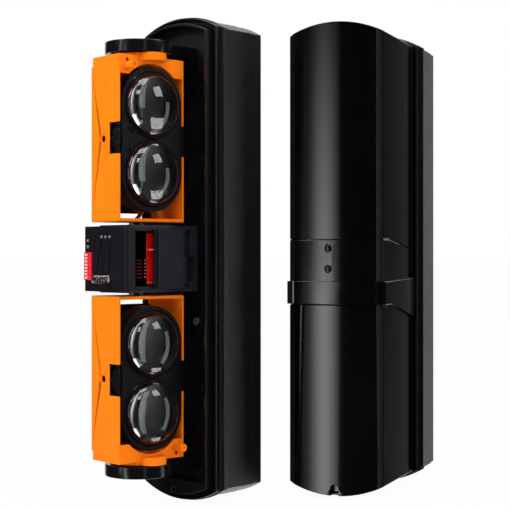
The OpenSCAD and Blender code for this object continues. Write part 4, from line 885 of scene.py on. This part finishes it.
@dataclass
class ControlBox:
    """Control box between the heads: case, panel, bracket, and on the receiver all its fittings."""

    unit: str
    seat: Seat
    fitted: bool
    face: float = 94.5
    front: float = 92.0
    left: float = -28.0
    spring: Pair = (2.2, -18.0)
    spring_r: float = 3.25
    wire: float = 0.45
    curls: int = 7
    reach: float = 17.0
    lamp_r: float = 1.5
    board_x: float = 19.6
    slot_z: float = -8.6
    slot_pitch: float = 3.0
    leg_pitch: float = 1.6

    def build(self) -> None:
        """Dresses the box's nodes and, on the receiver, adds its small parts."""
        dress(f"{self.unit}_bracket", BRACKET_GREY, 0.4)
        dress(f"{self.unit}_control_case", PANEL_GREY, 0.5)
        dress(f"{self.unit}_control_panel", PANEL_GREY, 0.6)
        if not self.fitted:
            return
        # The side plate takes the bracket's grey darkened as painted shade; the connector block takes a
        # shineless black that is partly painted shade.
        for node, finish, edge in (("side_plate", SHADED_PLATE_GREY, 0.3), ("circuit_board", BOARD_RED, 0.1),
                                   ("connector_block", SHADED_SLOT_BLACK, 0.0), ("pin_header", SIGNAL_RED, 0.0),
                                   ("dip_switch", SIGNAL_RED, 0.0), ("tamper_switch", CARRIER_BLACK, 0.25),
                                   ("tamper_plunger", NYLON_WHITE, 0.2), ("earth_plate", CARRIER_BLACK, 0.3),
                                   ("arm_screws", BLACK_STEEL, 0.15), ("earth_screw", NICKEL, 0.15)):
            dress(f"receiver_{node}", finish, edge)
        for k in range(1, 9):
            dress(f"dip_slider_{k}", NYLON_WHITE, 0.15)
        self.make_spring()
        self.make_lamps()
        self.make_board_parts()
        self.make_contacts()
        self.make_studs()

    def make_contacts(self) -> None:
        """Makes the contact springs in the connector's slots, the pale dots and the header's pins."""
        strips, dots = bmesh.new(), bmesh.new()
        top = self.board_x + 4.6
        for k in range(6):
            z = self.slot_z + (k - 2.5) * self.slot_pitch
            block(strips, (top - 1.9, -78.2, z - 0.7), (top - 0.9, -70.8, z + 0.2), 0.15)
            turned(dots, [(0.0, -0.1), (0.4, -0.1), (0.36, 0.12), (0.2, 0.22), (0.0, 0.24)], Way.RIGHT,
                   (top, -68.6, z), 20)
        low, high = (self.seat.matrix().inverted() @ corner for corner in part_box("receiver_pin_header"))
        for k in range(4):
            y = low.y + (high.y - low.y) * (k + 0.5) / 4
            block(dots, (high.x - 0.5, y - 0.3, (low.z + high.z) / 2 - 0.4),
                  (high.x + 0.5, y + 0.3, (low.z + high.z) / 2 + 0.4), 0.1)
        # The contact springs take the darkened red: painted shade for the depth of the slots.
        Piece("connector_contacts", "receiver", "red_plastic", SHADED_SLOT_RED).place(strips, self.seat)
        Piece("connector_dots", "receiver", "white_plastic", NYLON_WHITE).place(dots, self.seat)

    def make_studs(self) -> None:
        """Makes the small studs that stand on the bracket's arms beside the case."""
        profile = [(0.0, 30.0), (2.4, 30.0), (2.4, 30.6), (1.9, 30.8), (1.9, 32.0), (1.5, 32.4), (0.8, 32.4),
                   (0.6, 31.8), (0.0, 31.8)]
        form = bmesh.new()
        for end in (-1, 1):
            for y in (-75.9, -64.4):
                turned(form, [(r, end * h) for r, h in profile], Way.UP, (14.0, y, 0.0), 32)
        Piece("bracket_studs", "receiver", "side_grey", STUD_GREY).place(form, self.seat)

    def make_spring(self) -> None:
        """Makes the wound wire with its two closed end turns."""
        steps, closed = 28, 0.75
        total = steps * self.curls
        low, high = self.front + self.wire, self.front + self.reach - self.wire
        x, z = self.spring
        path: Loop = []
        for k in range(total + 1):
            turn = 2 * pi * k / steps
            share = min(max((k / steps - closed) / (self.curls - 2 * closed), 0.0), 1.0)
            rise = low + (high - low - 2 * self.wire) * share + self.wire * 2 * (k / total)
            path.append(Vector((x + self.spring_r * cos(turn), -rise, z + self.spring_r * sin(turn))))
        form = bmesh.new()
        tube(form, path, self.wire, 12)
        Piece("tamper_coil", "tamper_plunger", "spring_steel", SPRING_WIRE,
              ("receiver_tamper_spring",)).place(form, self.seat, 60)

    def lamp_places(self) -> list[Pair]:
        """Returns the lamps' places on the panel, across and up."""
        row = [(1.6 + k * 5.4, 19.5) for k in (-1, 0, 1)]
        return row + [(self.left + 5.0, 10.8 + k * 5.4) for k in (0, 1)]

    def make_lamps(self) -> None:
        """Makes the lamps: a domed lens in a thin black collar."""
        lenses, collars = bmesh.new(), bmesh.new()
        r, lip = self.lamp_r, self.face - self.front
        dome = [(r * sin(pi / 2 * k / 10), lip + r * cos(pi / 2 * k / 10)) for k in range(11)]
        for x, z in self.lamp_places():
            at = (x, -self.front, z)
            turned(lenses, dome + [(r, -0.1), (2.0, -0.1), (2.0, -1.2), (0.0, -1.2)], Way.AHEAD, at, 40)
            turned(collars, [(r + 0.03, lip - 0.3), (r + 0.03, lip + 0.2), (r + 0.2, lip + 0.38),
                             (r + 0.55, lip + 0.3), (r + 0.75, lip - 0.1), (r + 0.75, lip - 0.3)],
                   Way.AHEAD, at, 40)
        Piece("lamp_lenses", "receiver", "lamp_lens", LAMP_GREY,
              ("receiver_status_lamps",)).place(lenses, self.seat)
        Piece("lamp_collars", "receiver", "inner_black", CARRIER_BLACK).place(collars, self.seat)

    def make_board_parts(self) -> None:
        """Makes the chips, capacitors and solder joints on the circuit board behind the hatch."""
        x = self.board_x
        chips, legs, tins, sleeves = bmesh.new(), bmesh.new(), bmesh.new(), bmesh.new()
        for y, z, long in ((-45.0, 12.0, 12.0), (-45.0, -8.0, 9.0), (-36.0, -10.0, 7.0)):
            block(chips, (x + 0.5, y - 2.6, z - long / 2), (x + 2.6, y + 2.6, z + long / 2), 0.25)
            count = int(long // self.leg_pitch)
            for k in range(count):
                at = z + (k - (count - 1) / 2) * self.leg_pitch
                for side in (-1, 1):
                    reach = sorted((y + side * 2.4, y + side * 3.9))
                    block(legs, (x, reach[0], at - 0.3), (x + 0.7, reach[1], at + 0.3), 0.08)
        for y, z, r, tall in ((-52.0, 18.4, 2.4, 5.6), (-38.0, 18.4, 2.0, 5.2), (-34.0, 2.0, 2.6, 5.8)):
            turned(sleeves, [(0.0, 0.2), (r, 0.2), (r, tall - 0.5), (r - 0.2, tall - 0.1), (r - 0.5, tall),
                             (r - 0.6, tall - 0.25), (0.0, tall - 0.25)], Way.RIGHT, (x, y, z), 40)
        for k in range(7):
            turned(tins, [(0.0, -0.05), (0.75, -0.05), (0.6, 0.25), (0.3, 0.5), (0.0, 0.6)], Way.RIGHT,
                   (x, -63.5 + 3.0 * k, -21.4), 20)
        Piece("board_chips", "receiver", "inner_black", EPOXY).place(chips, self.seat)
        Piece("board_chip_legs", "receiver", "screw_steel", TIN).place(legs, self.seat)
        Piece("board_capacitors", "receiver", "inner_black", SLEEVE_BLUE).place(sleeves, self.seat)
        Piece("board_solder_joints", "receiver", "screw_steel", TIN).place(tins, self.seat)


# ---- cover

@dataclass
class Cover:
    """The transmitter's glossy cover with its band, windows and screw."""

    seat: Seat
    front: float = 114.6
    window: Triple = (-6.0, 9.6, 3.35)
    window_ahead: float = 0.4
    window_t: float = 4.6

    def build(self) -> None:
        """Dresses the cover's nodes and makes its windows."""
        dress("transmitter_cover", COVER_GLOSS, 0.5)
        dress("transmitter_cover_band", COVER_GLOSS, 0.6)
        dress("transmitter_cover_screw", NICKEL, 0.15)
        self.make_windows()

    def make_windows(self) -> None:
        """Makes the two round windows: a shallow dark dome with a rolled edge."""
        x, z, r = self.window
        top, deep = self.window_ahead, self.window_t
        dome = [(r * 0.72 * k / 8, top - 0.25 + 0.25 * cos(pi / 2 * k / 8)) for k in range(9)]
        form = bmesh.new()
        for side in (-1, 1):
            turned(form, dome + [(r * 0.78, top - 0.34), (r * 0.84, top - 0.1), (r * 0.92, top - 0.02),
                                 (r, top - 0.2), (r, top - deep), (0.0, top - deep)], Way.AHEAD,
                   (x, -self.front, side * z), 64)
        Piece("cover_window_pair", "transmitter_cover", "window_dark", WINDOW_DARK,
              ("transmitter_cover_windows",)).place(form, self.seat, 40)


# ---- studio

@dataclass(frozen=True)
class Softbox:
    """A soft lamp: where it hangs round the object, its size and its power.

    A graded lamp fades at its near side, its far side and its top. Each of these holds the places of the least
    and the full light, as shares of the lamp, and the least light.
    """

    name: str
    azimuth: float
    rise: float
    far: float
    wide: float
    tall: float
    power: float
    graded: bool = False
    near_side: Triple = (0.1, 0.58, 0.08)
    far_side: Triple = (1.05, 0.6, 0.1)
    top: Triple = (1.0, 0.55, 0.04)

    def build(self, middle: Vector) -> None:
        """Makes the lamp, aimed at the object's middle.

        Args:
            middle: the point that the lamp looks at.
        """
        a, e = radians(self.azimuth), radians(self.rise)
        way = Vector((sin(a) * cos(e), -cos(a) * cos(e), sin(e)))
        lamp = bpy.data.lights.new(f"softbox_{self.name}", "AREA")
        lamp.shape = "RECTANGLE"
        lamp.size, lamp.size_y = self.wide, self.tall
        lamp.energy = self.power
        if self.graded:
            self.grade(lamp)
        rig = bpy.data.objects.new(f"softbox_{self.name}", lamp)
        rig.location = middle + way * self.far
        rig.rotation_euler = way.to_track_quat("Z", "Y").to_euler()
        bpy.context.scene.collection.objects.link(rig)

    def grade(self, lamp: AreaLight) -> None:
        """Lets the lamp fade towards its top and to both sides, as a lit cloth does.

        Args:
            lamp: the lamp that gets the nodes.
        """
        lamp.use_nodes = True
        tree = lamp.node_tree
        tree.nodes.clear()
        place = add_node(tree, "ShaderNodeNewGeometry")
        parts = add_node(tree, "ShaderNodeSeparateXYZ", None, i0=place.outputs["Parametric"])
        near, far, fall = (add_node(tree, "ShaderNodeMapRange", kind, Value=parts.outputs[axis], From_Min=dim,
                                    From_Max=full, To_Min=least, To_Max=1.0)
                           for kind, axis, (dim, full, least) in ((SMOOTH, 0, self.near_side),
                                                                  (SMOOTH, 0, self.far_side),
                                                                  (None, 1, self.top)))
        wide = add_node(tree, "ShaderNodeMath", TIMES, i0=near.outputs[0], i1=far.outputs[0])
        level = add_node(tree, "ShaderNodeMath", TIMES, i0=wide.outputs[0], i1=fall.outputs[0])
        glow = add_node(tree, "ShaderNodeEmission", None, Strength=level.outputs[0])
        add_node(tree, "ShaderNodeOutputLight", None, Surface=glow.outputs[0])


@dataclass
class Studio:
    """Floor, lights, world and camera.

    Backdrop, side light and low light each hold where the white world starts, where it is full, and its level
    at the dim end; the first two places are angles from the camera's line of sight, in degrees.
    """

    azimuth: float = 44.0
    eye: Triple = (0.857, -0.918, 0.2285)
    lens: float = 92.9
    middle: Triple = (0.0, 0.0, 0.22)
    lamps: tuple[Softbox, ...] = (
        Softbox("key", -20.0, 36.0, 1.6, 0.7, 0.7, 12.0),
        Softbox("left_strip", -14.0, 4.0, 1.5, 0.12, 1.0, 1.6),
        Softbox("graded", 0.5, -6.0, 1.5, 0.38, 1.5, 8.0, True),
        Softbox("camera_side", 47.0, 38.0, 1.6, 0.35, 0.35, 3.5),
        Softbox("ridge", 65.0, 0.0, 1.5, 0.1, 1.3, 0.5),
        Softbox("fill", 115.0, 34.0, 1.5, 0.46, 0.5, 5.0),
        Softbox("wall_strip", 136.0, -12.0, 1.5, 0.3, 1.5, 2.6),
        Softbox("top", 50.0, 72.0, 1.5, 0.7, 0.7, 10.0),
    )
    level: float = 0.35
    floor_white: float = 0.97
    floor_clear: float = 0.98
    floor_half: float = 30.0
    backdrop: Triple = (38.5, 35.5, 0.02)
    side_light: Triple = (128.0, 92.0, 0.05)
    low_light: Triple = (0.3, -0.45, 0.25)
    sensor: float = 36.0
    nearest: float = 0.05

    def build(self) -> None:
        """Makes the floor, the lights, the world and the camera."""
        self.make_floor()
        for lamp in self.lamps:
            lamp.build(Vector(self.middle))
        self.make_world()
        self.make_camera()

    def make_floor(self) -> None:
        """Makes the pale floor, which reads as white, keeps the object's shadow and hardly shows in gloss."""
        form = bmesh.new()
        bmesh.ops.create_grid(form, x_segments=1, y_segments=1, size=self.floor_half)
        floor = new_mesh(form, "floor", Matrix.Identity(4))
        paper = bpy.data.materials.new("floor_paper")
        paper.use_nodes = True
        tree = paper.node_tree
        tree.nodes.clear()
        matte = add_node(tree, "ShaderNodeBsdfDiffuse", None, Color=linear("#f2f2f2"))
        white = add_node(tree, "ShaderNodeEmission", None, Color=WHITE, Strength=1.0)
        clear = add_node(tree, "ShaderNodeBsdfTransparent")
        ray = add_node(tree, "ShaderNodeLightPath")
        share = add_node(tree, "ShaderNodeMath", TIMES, i0=ray.outputs["Is Camera Ray"], i1=self.floor_white)
        mixed = add_node(tree, "ShaderNodeMixShader", None, Fac=share.outputs[0], i1=matte.outputs[0],
                         i2=white.outputs[0])
        bent = add_node(tree, "ShaderNodeMath", LARGER, i0=ray.outputs["Is Glossy Ray"],
                        i1=ray.outputs["Is Transmission Ray"])
        gloss = add_node(tree, "ShaderNodeMath", TIMES, i0=bent.outputs[0], i1=self.floor_clear)
        last = add_node(tree, "ShaderNodeMixShader", None, Fac=gloss.outputs[0], i1=mixed.outputs[0],
                        i2=clear.outputs[0])
        add_node(tree, "ShaderNodeOutputMaterial", None, Surface=last.outputs[0])
        floor.data.materials.append(paper)

    def make_world(self) -> None:
        """Makes the white backdrop; gloss sees it behind the object alone, clear plastic at the sides too."""
        world = bpy.data.worlds.new("studio")
        bpy.context.scene.world = world
        world.use_nodes = True
        tree = world.node_tree
        tree.nodes.clear()
        ray = add_node(tree, "ShaderNodeLightPath")
        place = add_node(tree, "ShaderNodeTexCoord")
        aimed = add_node(tree, "ShaderNodeMapping", None, Vector=place.outputs["Generated"],
                         Rotation=(0.0, 0.0, -radians(self.azimuth + 90.0)))
        parts = add_node(tree, "ShaderNodeSeparateXYZ", None, i0=aimed.outputs[0])
        angle = add_node(tree, "ShaderNodeMath", {"operation": "ARCTAN2"}, i0=parts.outputs[1],
                         i1=parts.outputs[0])
        spread = add_node(tree, "ShaderNodeMath", {"operation": "ABSOLUTE"}, i0=angle.outputs[0])
        behind, sides = (add_node(tree, "ShaderNodeMapRange", kind, Value=spread.outputs[0],
                                  From_Min=radians(start), From_Max=radians(full), To_Min=least, To_Max=1.0)
                         for kind, (start, full, least) in ((None, self.backdrop), (SMOOTH, self.side_light)))
        start, full, least = self.low_light
        above = add_node(tree, "ShaderNodeMapRange", SMOOTH, Value=parts.outputs[2], From_Min=full,
                         From_Max=start, To_Min=1.0, To_Max=least)
        around = add_node(tree, "ShaderNodeMath", TIMES, i0=sides.outputs[0], i1=above.outputs[0])
        level = ray.outputs["Is Camera Ray"]
        for kind, share in (("Glossy", behind.outputs[0]), ("Transmission", around.outputs[0]),
                            ("Diffuse", self.level)):
            part = add_node(tree, "ShaderNodeMath", TIMES, i0=ray.outputs[f"Is {kind} Ray"], i1=share)
            level = add_node(tree, "ShaderNodeMath", LARGER, i0=level, i1=part.outputs[0]).outputs[0]
        sky = add_node(tree, "ShaderNodeBackground", None, Color=WHITE, Strength=level)
        add_node(tree, "ShaderNodeOutputWorld", None, Surface=sky.outputs[0])

    def make_camera(self) -> None:
        """Makes the camera at the photograph's place and angle."""
        view = bpy.data.cameras.new("camera")
        view.lens = self.lens
        view.sensor_width = self.sensor
        view.clip_start = self.nearest
        rig = bpy.data.objects.new("camera", view)
        rig.location = Vector(self.eye)
        rig.rotation_euler = Euler((pi / 2, 0.0, radians(self.azimuth)))
        bpy.context.scene.collection.objects.link(rig)
        bpy.context.scene.camera = rig


def unit_seats() -> tuple[Seat, Seat]:
    """Works out where the two units stand, from the receiver's chassis.

    Returns:
        The receiver's and the transmitter's seat, each at flange height and mid height.
    """
    low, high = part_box("receiver_chassis")
    origin = Vector(((low.x + high.x) / 2, low.y + RIM_AHEAD * MM, (low.z + high.z) / 2))
    return Seat(origin), Seat(origin + Vector(UNIT_SHIFT) * MM, UNIT_TURN)


def main() -> None:
    logging.basicConfig(level=logging.INFO, format="%(message)s")
    receiver, transmitter = unit_seats()
    Housing("receiver", "receiver", receiver).build()
    Housing("transmitter", "transmitter", transmitter).build()
    for word, side in (("upper", 1), ("lower", -1)):
        Head(word, f"{word}_head_frame", f"{word}_lens_carrier", f"{word}_lenses", f"{word}_optics",
             f"{word}_head", receiver.head(side, HEAD_TURN), True).build()
        hidden = f"transmitter_{word}"
        Head(hidden, f"{hidden}_frame", f"{hidden}_carrier", f"{hidden}_lenses", f"{hidden}_optics",
             f"{hidden}_head", transmitter.head(side, 0.0), False).build()
    ControlBox("receiver", receiver, True).build()
    ControlBox("transmitter", transmitter, False).build()
    Cover(transmitter).build()
    Studio().build()
    bpy.context.scene.view_settings.view_transform = "Standard"
    bpy.context.view_layer.update()


if __name__ == "__main__":
    main()
